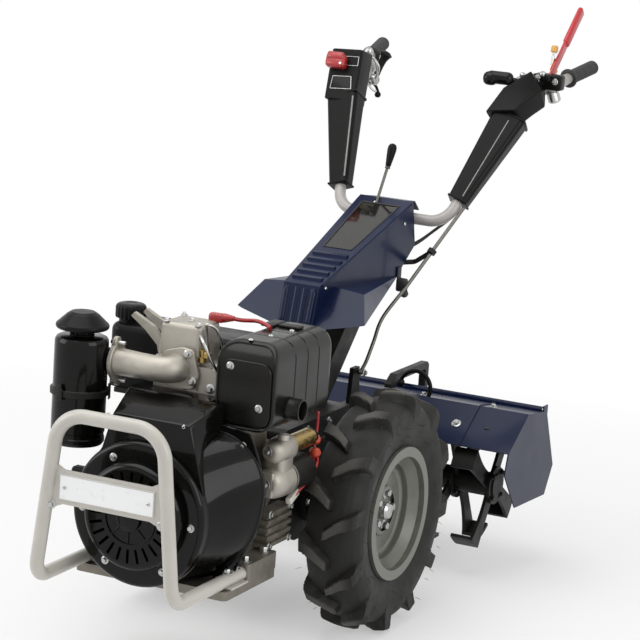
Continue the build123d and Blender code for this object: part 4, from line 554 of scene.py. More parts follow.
# Elbow: a tube whose radius follows the knots; the plate is an oval, parted 2 mm more along its depth
def makeElbow(spec):
    path, angle = smoothLine(spec["run"]), turns(28)
    radii = np.interp(np.linspace(0, 1, len(path)), np.linspace(0, 1, len(spec["radii"])), spec["radii"])
    across, behind, high = spec["plate"]
    depth = behind + spec["plateReach"][0] * np.cos(angle)
    plate = np.stack([np.full_like(angle, across), depth - 2 * np.sign(depth - behind),
                      high + spec["plateReach"][1] * np.sin(angle)], axis=1)
    layers = [plate + left * step for step in (-9, -8, -1, 0)]
    for index in (0, 3):
        layers[index] = layers[index] + (layers[index].mean(axis=0) - layers[index]) * 0.04
    ears = np.array(spec["ears"])
    makePiece("IntakeElbow", "alloy", [tubeAlong(path, radii, 32), (np.vstack(layers), ringFaces(4, 28)),
                                       slab(upright(spec["face"], spec["faceBack"]), back * 9.0, 8.0, 1.4)],
              replaces=("intake_pipe",), sharp=32,
              spun=[([(10.5, -4.5), (12, -3.5), (12, 3.5), (10.5, 4.5), (0, 4.5)], ear, left, 24)
              for ear in ears])
    makePiece("IntakeBolts", "zinc", bolts=[(-left, 10, 6, *(ears - left * 4.6)),
        (-back, 10, 6, *spec["headBolts"])],
              spun=[([(4, 0), (4, 15), (3.4, 16), (0, 16)], ear + left * 4, left, 12) for ear in ears])


makeElbow(elbowSpec)

# Air cleaner: canister profile with rolled seams from its foot, neck, clamp band, toggle clips, inlet ribs
cleanerSpec = {"foot": (-208, -520, 432), "clips": [20, 140, 260], "ribs": 16,
               "profile": [(0, 0), (40, 0), (50, 2), (54, 8), (54, 16), (52.4, 18), (52.4, 26), (54, 28),
                           (54, 102),
                           (56, 104), (58, 106), (58, 112), (56, 114), (54, 116), (54, 208), (53.2, 214),
                           (50, 218.5), (44, 221), (0, 221)],
               "neck": [(24, 0), (24, 18), (26, 20), (26, 24), (24, 26), (24, 59)],
               "band": [(58.1, -6), (58.9, -5.4), (58.9, 5.4), (58.1, 6)],
               "inlet": [(24, 0), (25, 1), (25, 2.6), (24, 3.6)]}


# Cleaner: forms turned about its upright axis, and boxes set round it at the clips' and the ribs' reach
def makeCleaner(spec):
    foot = np.array(spec["foot"])
    makePiece("CleanerCanister", "blackEnamel", replaces=("air_cleaner",), sharp=30,
              spun=[(spec["profile"], foot, up, 96), (spec["neck"], (-208, -494, 607), left, 40)])
    clips = []
    for out, axes in map(facing, np.radians(spec["clips"])):
        clips += [(foot + up * 109 + out * 60.4, (14, 3, 26), 1.2, axes),
                  (foot + up * 124 + out * 60.0, (9, 5, 8), 1.5, axes)]
    makePiece("CleanerClamp", "chassis", boxes=clips, spun=[(spec["band"], foot + up * 109, up, 96)])
    ribs = [(foot + up * 229 + out * 21.5, (3, 5, 11), 1.0, axes)
            for out, axes in map(facing, turns(spec["ribs"]))]
    makePiece("PreCleanerNeck", "plastic", boxes=ribs, spun=[(spec["inlet"], foot + up * 221.2, up, 48)])


makeCleaner(cleanerSpec)

# Fuel cap: rows are (millimetres off its radius, height, share of the finger waves), under a domed top
capSpec = {"place": (-222, -304, 654), "radius": 32.0, "waves": 20, "depth": 1.5,
           "rows": [(-2.5, 0, 0), (-0.6, 0.4, 1), (0, 2, 1), (0, 22, 1), (-0.8, 24, 0.8), (-2.5, 26.5, 0.3),
                    (-5, 28.2, 0), (-9, 29.6, 0), (-20, 30, 0), (-21, 29.2, 0), (-31.5, 29.2, 0)]}


# Cap: at angle a, radius less depth*(0.5 + 0.5*cos(waves*a))^2 times the row's share
def makeFuelCap(spec):
    angle = turns(240)
    wave = spec["depth"] * (0.5 + 0.5 * np.cos(spec["waves"] * angle)) ** 2
    points = np.vstack([np.stack([(spec["radius"] + off - wave * share) * np.cos(angle),
                                  (spec["radius"] + off - wave * share) * np.sin(angle),
                                  np.full_like(angle, high)], axis=1) for off, high, share in spec["rows"]])
    makePiece("FuelCap", "plastic", [(points + spec["place"], ringFaces(len(spec["rows"]), 240))],
              replaces=("fuel_cap",), sharp=30)


makeFuelCap(capSpec)
makePiece("TankSeam", "plastic", boxes=[((-95, -271.5, 566), (326, 137, 5), 2.4)])

# Muffler: a rounded box whose front is a dish: it falls back by scoop*(share above 646 mm)^2. Its rings are
# (millimetres behind the front, millimetres drawn in), with three rolled grooves
mufflerSpec = {"corners": [(80, 510), (210, 510), (210, 686), (80, 686)], "radius": 42, "front": -490,
               "scoop": 30, "scoopStart": 646, "scoopRun": 38, "fade": 60, "grooves": (83, 137, 187),
               "rings": [(0, 5), (0.8, 2), (3, 0.4), (7, 0), (20, 0), (44, 0), (78, 0)],
               "groove": [(0, 0), (1.5, 1.4), (4.5, 1.4), (6, 0), (11, 0)], "between": [132, 182, 236],
               "end": [(243, 0), (247, 0.8), (249.4, 3), (250, 7)],
               "plate": [(92, 522), (202, 522), (202, 650), (92, 650)], "pipe": (210, -420, 553),
               "pipeProfile": [(21, 2), (23.4, 0), (23.4, 6), (22.4, 8), (22.4, 29), (21.6, 30.2),
                               (19.6, 30.2), (19, 29), (19, 2)],
               "frontScrews": [(112, -491.8, 636), (179, -491.8, 560)],
               "topScrews": [(138, -462, 686), (150, -400, 686), (160, -328, 686)]}


# Can: each ring is the outline drawn towards its middle; near the front it falls back with the dish
def makeMuffler(spec):
    ring = roundedRing(spec["corners"], spec["radius"], 14)
    middle = ring.mean(axis=0)
    way = (middle - ring) / np.linalg.norm(middle - ring, axis=1)[:, None]
    rings = list(spec["rings"])
    for start, between in zip(spec["grooves"], spec["between"]):
        rings += [(start + depth, inset) for depth, inset in spec["groove"]] + [(between, 0)]
    rows = [(middle + (ring - middle) * scale, 3.0, 1.0) for scale in np.linspace(0.02, 0.9, 16)]
    rows += [(ring + way * inset, depth, max(0.0, 1 - depth / spec["fade"]) * (1 if depth > 2 else 0.9))
             for depth, inset in rings + spec["end"]]
    layers = []
    for flat, depth, fade in rows:
        fall = spec["scoop"] * np.clip((flat[:, 1] - spec["scoopStart"]) / spec["scoopRun"], 0, 1) ** 2 * fade
        layers.append(np.stack([flat[:, 0], spec["front"] + depth + fall, flat[:, 1]], axis=1))
    makePiece("MufflerCan", "heatPaint",
              [(np.vstack(layers), ringFaces(len(layers), len(ring))),
               slab(upright(spec["plate"], spec["front"] - 1.6), back * 8.0, 26.0, 1.4)],
              replaces=("muffler",), sharp=32,
              spun=[(spec["pipeProfile"], spec["pipe"], left, 48),
              ([(0, 2), (19.2, 2.1)], spec["pipe"], left, 48)])
    makePiece("MufflerScrews", "zinc", bolts=[(-back, 9, 5, *spec["frontScrews"])],
              screws=[(up, 5, 3.4, *spec["topScrews"])])
    makePiece("MufflerTabs", "chassis", boxes=[((144, -300, 689), (46, 26, 5), 2),
        ((104, -300, 689), (26, 60, 5), 2)])


makeMuffler(mufflerSpec)

# Cylinder head: cooling ribs, bolts, injector pipes with their nuts, battery cable with its boot
makePiece("HeadRibs", "alloy", [slab([(px - 2, -452, 596), (px - 2, -463, 592), (px - 2, -452, 562)],
                                     left * 4.0, 1.5, 0.5) for px in (-18, 21)],
          boxes=[((px, -346, 580), (3.2, 10, 34), 1.2) for px in np.linspace(-76, 58, 7)]
          + [((-86, -397, level), (8, 96, 3.0), 1.2) for level in (568, 578, 588, 598)])
makePiece("HeadBolts", "zinc", bolts=[
    (up, 8, 5, (-66, -435, 690), (-66, -362, 690), (6, -435, 690), (6, -362, 690), (-30, -398, 690)),
    (up, 13, 9, (-72, -446, 612), (58, -446, 612), (58, -350, 612), (-72, -350, 612)),
    (-back, 11, 7, (-60, -452, 590), (50, -452, 572), (-8, -452, 571))])
makePiece("InjectorPipes", "zinc", lines=[
    (3.1, 12, [(34, -442, 642), (36, -456, 690), (44, -470, 704), (58, -452, 690), (66, -430, 640)]),
    (3.1, 12, [(22, -440, 650), (26, -462, 676), (46, -482, 668), (62, -474, 632), (70, -450, 600)])])
makePiece("InjectorNuts", "goldZinc", spun=[
    ([(7.5, 0), (8.5, 1), (8.5, 11), (7.5, 12), (5, 12), (5, 18), (0, 18)], (34, -442, 630), up, 6),
    ([(9, 0), (9, 9), (6, 10), (6, 24), (4, 25), (0, 25)], (22, -440, 620), up, 24),
    ([(7, -6), (8, -5), (8, 5), (7, 6), (0, 6)], (66, -431, 640), (0, 0.4, 1), 6)])
makePiece("BatteryCable", "redPlastic", replaces=("battery_cable",),
          boxes=[((8, -360, 696), (34, 20, 19), 6)],
          spun=[([(9, -3), (9.6, 0), (6.4, 14), (5, 20), (0, 20)], (24, -358, 697), (1, 0.2, 0.05), 24)],
          lines=[(4.2, 14, [(36, -356, 698), (54, -340, 694), (76, -326, 694), (94, -332, 694),
                            (112, -344, 693), (124, -352, 690)])])

# Starter group on the engine's left side: nose, the motor's caps, orange boots, wires, pale connectors
starterSpec = {"axis": (159, 384), "boots": [(168, -206, 441), (174, -214, 416), (172, -226, 392)],
               "wires": [[(170, -200, 498), (168, -196, 470), (168, -200, 450)],
                         [(173, -214, 404), (180, -236, 372), (172, -276, 346), (166, -300, 330)],
                         [(168, -206, 430), (182, -214, 400), (184, -244, 376), (170, -280, 356)]],
                         "plugTurn": 24}


# Starter: bells and caps are turned about its axis, and the plugs lean by their turn in the side view
def makeStarter(spec):
    px, pz = spec["axis"]
    makePiece("StarterNose", "alloy", replaces=("starter_housing",), sharp=34, spun=[
        ([(17, 0), (24, 3), (29, 10), (33, 24), (35, 44), (35, 80)], (px, -400, pz), back, 56),
        ([(9, 0), (15, 2), (21, 8), (25, 20), (27, 40), (27, 72), (23, 80)], (px + 5, -400, 450), back, 48),
        ([(12, 0), (12, 10), (9, 12), (0, 12)], (px + 26, -386, 478), (0, 0.2, 1), 20)],
        boxes=[((px + 3, -352, 420), (44, 56, 76), 12), ((px - 14, -396, pz), (60, 9, 52), 4)])
    makePiece("StarterCap", "chassis", spun=[
        ([(34.2, 0), (35, 1.5), (35, 7), (34.2, 8)], (px, -330, pz), back, 56),
        ([(34.3, 0), (34.8, 2), (34.8, 9), (31, 14), (12, 16), (11, 20), (0, 20)], (px, -248, pz), back, 56)])
    makePiece("StarterBolts", "zinc", spun=[([(4, 0), (4, 14), (0, 14)], (px, -214, 453), back, 14)], bolts=[
        (back, 8, 5, *ringOf((px, -233, pz), 26, np.radians([35, 215]), left)),
        (-back, 11, 7, (159, -400, 384), (159, -400, 452))])
    makePiece("SolenoidCap", "plastic", spun=[([(19.1, 0), (19.6, 2), (19.6, 6), (17, 9), (0, 9)],
                                               (px, -216, 447), back, 40)])
    boot = [(6, -9), (9.5, -7), (11, 0), (10, 8), (6, 12), (0, 12)]
    tail = [(5, -6), (7, -4), (7, 8), (5, 10), (0, 10)]
    makePiece("StarterBoots", "orange", spun=[(boot, place, (1, -0.3, 0.2), 28) for place in spec["boots"]]
              + [(tail, place, (0, 0.2, -1), 20) for place in spec["boots"]])
    makePiece("StarterWires", "redPlastic", lines=[(3.0, 12, run) for run in spec["wires"]])
    lean = np.radians(spec["plugTurn"])
    axes = [[0, np.cos(lean), np.sin(lean)], [1, 0, 0], [0, -np.sin(lean), np.cos(lean)]]
    makePiece("WirePlugs", "paleNylon", boxes=[((166, -288, 338), (40, 13, 15), 2.5, axes),
                                               ((166, -254, 352), (26, 10, 11), 2.0, axes)])


makeStarter(starterSpec)

# Engine block: the shroud's back plate with its rolled edge, all its bolts, its ribs and the dipstick
engineSpec = {"backPlate": [(100, 521), (142, 516), (172, 511), (196, 454), (207, 399), (205, 352),
                            (178, 280), (140, 196), (110, 196), (96, 300), (96, 430)], "plateBack": -506,
              "drum": (0, -633.8, 345), "drumBolts": 121, "drumTurns": [62, 118, 182, 238, 302, 358]}
plate = upright(engineSpec["backPlate"], engineSpec["plateBack"])
edge = roundedRing(plate, 12.0)[8:-22] - back * 0.6
makePiece("ShroudBackPlate", "blackEnamel", [slab(plate, back * 7.0, 12.0, 1.6), tubeAlong(edge, 2.4, 10)],
    sharp=32)
makePiece("EngineBolts", "zinc", bolts=[
    (left, 9, 5, (157, -364, 248), (157, -364, 314), (157, -276, 248), (157, -276, 314)),
    (up, 14, 9, (-150, -452, 238), (-150, -372, 238), (150, -452, 238), (150, -372, 238)),
    (-back, 10, 6, (157, -506, 484), (154, -506, 458), (122, -506, 205)),
    (-back, 9, 5, *ringOf(engineSpec["drum"], engineSpec["drumBolts"], np.radians(engineSpec["drumTurns"]),
    left)),
    (-left, 11, 7, (-125, -486, 250), (-125, -486, 470), (-125, -344, 250), (-125, -344, 470)),
    (left, 17, 8, (125, -470, 300)), (left, 10, 6, (125, -440, 430))],
    screws=[((0, -1, 0.1), 4.5, 2.6, (-84, -616, 530), (84, -616, 532))])
makePiece("CrankcaseRibs", "alloy", boxes=[
    ((126, -440, 420), (5, 96, 6), 2), *(((-126, -478 + k * 30, 360), (4, 5, 200), 1.8) for k in range(5)),
    ((-126, -415, 300), (6, 150, 7), 2.5), ((126, -478, 330), (5, 6, 150), 2)],
    spun=[([(20, 0), (21, 2), (21, 9), (19, 11), (0, 11)], (125, -440, 292), left, 48)])
makePiece("Dipstick", "plastic", spun=[([(4, 0), (4, 26), (7, 28), (7, 34), (0, 35)], (134, -482, 262),
    (0.5, 0, 1), 16)])

# Recoil cover: hub cap, and raised ribs between its slots, each along its own radius
hubRibs = [(place, (24, 3.4, 3), 1.2, [[np.cos(turn), 0, np.sin(turn)], back,
    [-np.sin(turn), 0, np.cos(turn)]])
           for turn, place in zip(turns(8), ringOf((0, -661, 345), 40, turns(8), left))]
makePiece("RecoilHub", "blackEnamel", boxes=hubRibs, spun=[
    ([(24, 0), (25, 1.2), (25, 3.6), (22, 5.2), (8, 6.0), (0, 6.0)], (0, -663, 345), -back, 56)])
print("engine ready")

# Front guard: bolts through the plate's flared ends, screws, feet and a thin raised border on the sign
makePiece("GuardBolts", "zinc", bolts=[
    (-back, 10, 6, *((side * 120, -752, high) for side in sides for high in (372, 448))),
    (up, 11, 7, *((side * 152, behind, 232) for side in sides for behind in (-530, -496)))],
    screws=[(-back, 3.6, 1.8, (-92, -754.6, 410), (92, -754.6, 410))])
makePiece("SignBorder", "greyTube", boxes=[
    ((px, -754.6, high), (wide, 1.0, tall), 0.45) for px, high, wide, tall in
    ((0, 434, 206, 1.6), (0, 386, 206, 1.6), (-103, 410, 1.6, 49), (103, 410, 1.6, 49))])
makePiece("GuardFeet", "greyTube", boxes=[((side * 152, -512, 206), (44, 70, 5), 2) for side in sides])

# Grip: radius less a rib wave every 5.5 mm along it, with a collar at its inner end and a closed dome
gripSpec = {"knee": (222, 665, 1078), "end": (274, 968, 1137), "length": 118.0, "radius": 16.5, "pitch": 5.5,
            "depth": 1.5, "ribStart": 12, "ribEnd": 10, "dome": 6,
            "collar": [(16.6, -0.2), (21.5, 0.8), (22.5, 2.4), (22.5, 4.6), (21.5, 6.2), (16.4, 7.2)]}


# Grip on one side: at s along it, radius - depth*(0.5 - 0.5*cos(2*pi*s/pitch))^3, and less at its dome
def gripForms(side, spec):
    end, knee = np.array(spec["end"]) * (side, 1, 1), np.array(spec["knee"]) * (side, 1, 1)
    way = (end - knee) / np.linalg.norm(end - knee)
    start = end - way * (spec["length"] - 4.0)
    along = np.linspace(0, spec["length"], 190)
    rib = spec["depth"] * (0.5 - 0.5 * np.cos(2 * np.pi * along / spec["pitch"])) ** 3
    radius = spec["radius"] - rib * ((along > spec["ribStart"]) & (along < spec["length"] - spec["ribEnd"]))
    tip = np.clip((along - spec["length"] + spec["dome"]) / spec["dome"], 0, 1)
    radius = radius * np.sqrt(np.maximum(1 - tip ** 2 * 0.75, 0.02))
    profile = np.vstack([[13.2, 0], np.stack([radius, along], axis=1), [0, spec["length"] + 0.2]])
    return [turned(profile, start, way, 40), turned(spec["collar"], start, way, 48, False)]


makePiece("Grips", "rubber", gripForms(1, gripSpec) + gripForms(-1, gripSpec), "handlebar",
    replaces=("grips",), sharp=34)

# Handle trim: each side's painted highlight, a grey strip along the glossy black cover, as (share of the leg,
# mm across, mm deep) at both ends with its radius, and the heads' rings of (across, behind, up) corners
handleSpec = {
    "elbow": (132, 478, 803), "knee": (222, 665, 1078),
    "highlightStrips": {1: [(0.2, 9, -20.2), (0.8, 7, -25.8), 1.4], -1: [(0.2, 19.5, -20.2), (0.8, 33, -25.8), 2.0]},
    "heads": {1: [[(158, 600, 1050), (229, 602, 1060), (226, 650, 1018), (160, 668, 1004)],
                  [(186, 628, 1106), (248, 630, 1086), (248, 672, 1042), (198, 704, 1060)],
                  [(240, 652, 1148), (268, 657, 1106), (268, 692, 1062), (246, 742, 1098)]],
              -1: [[(-251, 604, 1034), (-173, 604, 1036), (-172, 665, 1014), (-248, 668, 1012)],
                   [(-258, 632, 1090), (-178, 632, 1094), (-176, 690, 1076), (-254, 694, 1072)],
                   [(-262, 656, 1146), (-184, 656, 1150), (-182, 716, 1134), (-258, 720, 1130)]]}}


# A place on a leg is its elbow + share*run + across and deep along the leg's own axes
def makeHandleTrim(spec):
    highlightStrips, collars, collarBoxes, heads = [], [], [], []
    for side in sides:
        elbow, knee = [np.array(spec[key]) * (side, 1, 1) for key in ("elbow", "knee")]
        run = knee - elbow
        along = run / np.linalg.norm(run)
        across = np.array([1.0, 0, -run[0] / run[2]])
        across /= np.linalg.norm(across)
        deep = np.cross(along, across)
        axes = [across, deep, along]
        low, high = [elbow + run * share + across * wide + deep * depth
                     for share, wide, depth in spec["highlightStrips"][side][:2]]
        # painted highlight: a grey tube along each cover's leg
        highlightStrips.append(tubeAlong(np.linspace(low, high, 12), spec["highlightStrips"][side][2], 10))
        heads.append(softPrism(spec["heads"][side], 7.0, 2.2))
        collars.append((elbow + run * 0.845, (83, 55, 8), 3, axes))
        collarBoxes.append((elbow + run * 0.172, (49.4, 41.6, 5), 2.2, axes))
    makePiece("CoverHighlightStrips", "paintedHighlight", highlightStrips, "handlebar")
    makePiece("HandleHeads", "plastic", heads, "handlebar", replaces=("handle_heads",), sharp=30,
              boxes=collars + [((262, 737, 1117), (54, 34, 36), 6), ((246, 728, 1128), (44, 44, 16), 5)])
    makePiece("CoverCollars", "plastic", body="handlebar", boxes=collarBoxes)


makeHandleTrim(handleSpec)

# Right head: panel corners as (across, up its face), the switch's place with its lift, the levers' runs
rightSpec = {"low": (-213, 604, 1035), "high": (-222, 656, 1148),
             "panel": [(-26, 24), (27, 28), (22, 58), (-24, 55)],
             "frame": [(2, 84), (34, 86), (33, 108), (2, 106)], "switch": (-17, 88, 12),
             "cables": [[(-186, 724, 1128), (-172, 730, 1104), (-182, 734, 1072)],
                        [(-196, 722, 1134), (-178, 722, 1118), (-176, 732, 1086)],
                        [(-198, 730, 1064), (-188, 736, 1050), (-180, 742, 1046)]],
             "blade": [(-196, 742, 1080), (-214, 782, 1062), (-230, 830, 1062), (-230, 852, 1078)],
             "paddle": [(-232, 848, 1072), (-227, 858, 1096), (-219, 866, 1118), (-214, 868, 1128)],
             "stick": [(-192, 742, 1066), (-186, 752, 1056), (-184, 760, 1044)]}


# Framed panel, rocker switch with its white dot, chrome perch, blade lever and stick lever with its ball:
# a place on the panel is low + across + rise up its face + out of it
def makeRightControls(spec):
    low = np.array(spec["low"])
    rise = np.array(spec["high"]) - low
    rise = rise / np.linalg.norm(rise)
    out = np.cross(left, rise)
    axes = [left, -out, rise]
    panel, edge = [[low + left * px + rise * pz + out * lift for px, pz in spec[key]]
                   for key, lift in (("panel", 1.0), ("frame", 1.2))]
    makePiece("PanelFrames", "zinc", edgeTubes(panel, 1.1, 8, 8) + edgeTubes(edge, 0.9, 6, 8), "handlebar")
    inner = [corner * 0.9 + sum(panel) / 4 * 0.1 for corner in panel]
    makePiece("PanelPlate", "blackEnamel", [slab(inner, -out * 1.4, 3.0, 0.4)], "handlebar")
    px, pz, lift = spec["switch"]
    cap = low + left * px + rise * pz + out * lift
    makePiece("SwitchCap", "redPlastic", body="handlebar", replaces=("engine_switch",), boxes=[
        (cap, (50, 26, 34), 8, axes), (cap + rise * 10 + out * 5, (44, 22, 20), 7, axes)])
    makePiece("SwitchDot", "white", body="handlebar", spun=[
        ([(3.2, 0), (3.2, 1.2), (2.6, 1.8), (0, 1.8)], cap + out * 12.6 + left * 16 - rise * 8, out, 24)])
    makePiece("ChromePerch", "zinc", body="handlebar", boxes=[((-206, 736, 1096), (34, 26, 52), 9)], spun=[
        ([(13.2, -13), (18, -12), (18, 12), (13.2, 13)], (-232, 724, 1090), (-52, 303, 59), 40),
        ([(0, -9), (14, -8), (17, -4), (17, 6), (12, 10), (0, 10)], (-196, 736, 1108), (0.9, -0.5, 0.2), 40),
        ([(0, -7), (10, -6), (13, -2), (13, 5), (9, 9), (0, 9)], (-186, 738, 1074), (0.9, -0.5, 0.1), 32),
        ([(0, -8), (9, -6), (11, 0), (11, 12), (7, 18), (0, 18)], (-204, 734, 1130), (0.2, -0.2, 1), 32)],
        lines=[(2.6, 12, run) for run in spec["cables"]])
    swell = np.concatenate([np.linspace(8, 9, 12), np.linspace(9, 15, 8), np.linspace(15, 7, 5)])
    makePiece("RightLevers", "plastic", body="handlebar", replaces=("hand_levers",), lines=[
        (np.linspace(6.5, 7.5, 25), 14, spec["blade"]), (swell, 18, spec["paddle"]),
        (3.4, 12, spec["stick"])],
        spun=[([(0, -7.5), (4.5, -6.4), (7.4, -2), (7.6, 2), (5, 6.4), (0, 7.6)], (-184, 760, 1037), -up,
        24)])


makeRightControls(rightSpec)

# Left head: flat rounded knob with a silver clip, amber knob on its pin, red lever with sleeve and label
leftSpec = {"low": (258, 735, 1128), "high": (258, 904, 1274), "stem": (1, 0.75, -0.2), "pin": (0, 0.25, 1)}


# Lever: its boxes stand along the way from its low to its high end, as shares of it or millimetres
def makeLeftControls(spec):
    makePiece("FlatKnob", "blackEnamel", body="handlebar",
              boxes=[((172, 640, 1124), (66, 26, 30), 12.5), ((150, 639, 1121), (34, 30, 32), 13)],
              spun=[([(6, 0), (6, 34), (0, 34)], (200, 646, 1122), spec["stem"], 24)])
    makePiece("LeftChrome", "zinc", body="handlebar", spun=[
        ([(6.2, 0), (10, 1), (10, 6), (6.2, 7)], (208, 652, 1121), spec["stem"], 28),
        ([(0, -5), (7, -4), (7, 6), (3, 9), (0, 9)], (214, 672, 1130), (0.2, -0.2, 1), 24),
        ([(0, -10), (13, -8), (15, 0), (15, 14), (10, 18), (0, 18)], (262, 752, 1086), (0.3, 0.2, -1), 32),
        ([(0, -3), (6, -2), (7, 3), (5, 6), (0, 6)], (250, 706, 1136), (0, -0.4, 1), 24)])
    low, run = np.array(spec["low"]), np.array(spec["high"]) - spec["low"]
    way = run / np.linalg.norm(run)
    flank = np.cross(left, way)
    axes = [left, flank, way]
    makePiece("LockingLever", "redEnamel", body="handlebar", replaces=("locking_lever",), boxes=[
        (low + run * 0.74, (13, 25, 116), 6.2, axes), (low + run * 0.26, (5, 22, 120), 1.6, axes)])
    makePiece("LeverLabel", "amber", body="handlebar", boxes=[
        (low + way * 34 - flank * 2 - left * 4.5, (1.6, 25, 36), 0.6, axes),
        (low + way * 30 - flank * 16 - left * 2, (1.6, 16, 26), 0.6, axes)])
    makePiece("AmberKnob", "amber", body="handlebar", spun=[
        ([(6, 0), (8.4, 2), (8.4, 12), (6.5, 16), (0, 16.6)], (251, 764, 1182), spec["pin"], 28)])
    makePiece("LeverPins", "zinc", body="handlebar", spun=[
        ([(3.4, 0), (3.4, 30), (0, 30)], (251, 756, 1153), spec["pin"], 14)],
        bolts=[((0, -1, 0.1), 8, 4, (276, 720, 1120)), ((0, -1, 0.1), 7, 4, (238, 706, 1128))])


makeLeftControls(leftSpec)

# Control cables: two runs from the left cover's foot into the hood's open back, baked in place and tied to no
# body
cableSpec = {"A": [3.4, (151, 526, 850), (147, 522, 838), (134, 510, 812), (104, 498, 783), (76, 485, 757),
                   (46, 466, 735), (36, 452, 730)],
             "B": [2.9, (139, 527, 852), (136, 521, 836), (124, 508, 806), (96, 494, 775), (68, 482, 748),
                   (40, 462, 729), (32, 448, 724)]}
for letter, (radius, *run) in cableSpec.items():
    piece = makePiece("ControlCable" + letter, "rubber", body=None, lines=[(radius, 14, run)],
                      replaces=("control_cables",) if letter == "A" else ())
    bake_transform(piece)
makePiece("CableFerrule", "zinc", body="handlebar", spun=[
    ([(4.6, 0), (5.2, 1), (5.2, 16), (4.2, 18)], (118, 505, 798), (0.6, 0.25, 0.75), 20)])
print("handlebar ready")

# Hood: its top runs from low to high as (behind, up), half as wide as its halves less the window's margin
hoodSpec = {"low": (35, 707), "high": (445, 847), "halves": (42, 66), "margin": 18, "window": (200, 414),
            "rodRun": [(60, 235, 489), (60, 262, 508), (62, 290, 548), (64, 326, 598), (92, 380, 664)],
            "rodEnd": (163.5, 506, 838)}


# A place on the hood's top at t behind: up = low + (t - low)*slope + lift
def onHood(behind, across, lift=0.0, spec=hoodSpec):
    (start, low), (end, high) = spec["low"], spec["high"]
    return np.array([across, behind, low + (behind - start) * ((high - low) / (end - start)) + lift])


# Hood trim: gasket, ribs, tray, boot and catch under the window, gear lever, bolts, link rod, cable stop
def makeHoodTrim(spec):
    (thin, wide), (start, end) = spec["halves"], (spec["low"][0], spec["high"][0])
    halves = [thin + (wide - thin) / (end - start) * (behind - start) - spec["margin"]
        for behind in spec["window"]]
    first, last = spec["window"]
    corners = [onHood(behind, across, 0.4) for behind, across in
               ((first, halves[0]), (last, halves[1]), (last, -halves[1]), (first, -halves[0]))]
    makePiece("WindowGasket", "rubber", edgeTubes(corners, 1.7, 10, 10))
    swell = np.concatenate([[2.5, 5], np.full(12, 6.4), [5, 2.5]])
    makePiece("HoodFlutes", "navy", [tubeAlong(np.linspace((px, 32.5, 701), (px * 0.95, 9.5, 618), 16),
        swell, 20)
                                     for px in (-34, 31)]
              + [tubeAlong(np.linspace(onHood(46, side * 43.4, -3.4), onHood(436, side * 65.6, -3.4), 30),
              2.4, 12)
                 for side in sides])
    tray = [onHood(150, -50, -62), onHood(150, 50, -62), onHood(424, 56, -58), onHood(424, -56, -58)]
    boot = [(40, 0), (36, 6), (38, 12), (30, 20), (32, 26), (22, 36), (23, 42), (13, 54), (9, 66), (8, 70)]
    makePiece("HoodTray", "plastic", [slab(tray, (0, 0.6, -2.0), 4.0, 0.5)],
              spun=[(boot, onHood(352, -20, -60), (12, 48, 161), 40)])
    makePiece("HoodCatch", "redPlastic", boxes=[(onHood(306, -8, -34), (26, 62, 24), 8,
                                                 [left, (0, 0.95, 0.32), (0, -0.32, 0.95)])])
    knobWay = (2, 8, 30)
    makePiece("GearLeverRod", "steelRod",
              [tubeAlong(np.linspace((-24, 393, 754), (-9.5, 461, 920), 24), 3.4, 14)],
              replaces=("gear_lever",),
              spun=[([(5.4, 0), (6, 1), (6, 5), (4, 6.4)], (-9.9, 457.8, 911), knobWay, 20)])
    makePiece("GearKnob", "plastic", spun=[([(4.5, 0), (6.2, 2), (7.2, 10), (9.2, 26), (10.4, 38), (10, 45),
                                             (7.4, 50.5), (3, 53), (0, 53.4)], (-9.6, 459.6, 916), knobWay,
                                             32)])
    makePiece("HoodBolts", "zinc",
              screws=[((side, -0.05, 0.2), 4.2, 2.2, (side * 44.6, 60, 700)) for side in sides]
              + [((side, -0.06, 0), 4.2, 2.2, (side * 64.2, 410, 800)) for side in sides],
              bolts=[(left * side, 9, 5, (side * 34, 478, 781)) for side in sides]
              + [(left * side, 13, 8, (side * 22, 300, 640)) for side in sides]
              + [(up, 12, 8, (0, 470, 830.1))])
    run = np.vstack([smoothLine(spec["rodRun"]), np.linspace(spec["rodRun"][-1], spec["rodEnd"], 16)[1:]])
    makePiece("LinkRod", "steelRod", [tubeAlong(run, 4.2, 16)], replaces=("link_rod",),
              spun=[([(0, -8), (5, -6.4), (8, 0), (5, 6.4), (0, 8)], spec["rodRun"][0], left, 24)])
    makePiece("CableStop", "rubber", spun=[([(6, 0), (9, 2), (9, 10), (5, 14), (0, 14)], (78, 398, 650),
                                            (0.3, 0.3, -1), 24)],
              boxes=[((74, 396, 664), (24, 20, 30), 5), ((65.4, 396, 684), (4, 18, 40), 1.5)])
    makePiece("LinkHardware", "zinc", bolts=[(left, 9, 5, (69.5, 235, 489)),
                                             (left, 10, 6, (51.2, 218, 400), (51.2, 252, 400))])


makeHoodTrim(hoodSpec)

# Tiller: the front sheet's slope, bolts on its top, folded seams, black boxes as painted shade in its slots
# and the rotor's nuts on both sides
tillerSpec = {"foot": (410, 318), "ridge": (517, 389), "rotor": (545, 203), "nutCircle": 37,
    "hubs": (90, 182, 274)}
(footBack, footUp), (ridgeBack, ridgeUp) = tillerSpec["foot"], tillerSpec["ridge"]
slope = (ridgeUp - footUp) / (ridgeBack - footBack)
makePiece("TillerBolts", "zinc", bolts=[
    ((0, -slope, 1.0), 12, 6, *((px, 462, footUp + (462 - footBack) * slope + 0.2) for px in (205, -205))),
    ((0, 0.12, 1), 10, 6, *((px, 532, ridgeUp - 12 / 96 * (532 - ridgeBack) + 0.2)
    for px in (264, -264, 90, -90)))])
makePiece("TillerSeams", "navy", [tubeAlong([(side * 237, 412, 320.6), (side * 237, 517, 390.4),
                                             (side * 237, 612, 378.6)], 1.3, 8) for side in sides])
# painted shade: black boxes stand for the dark inside of the sheet's slots
makePiece("TillerSlotShade", "rubber", boxes=[((side * 279, 462.4, 353.6), (13, 6, 3.4), 1.6,
                                           [left, (0, 0.83, 0.55), (0, -0.55, 0.83)]) for side in sides])
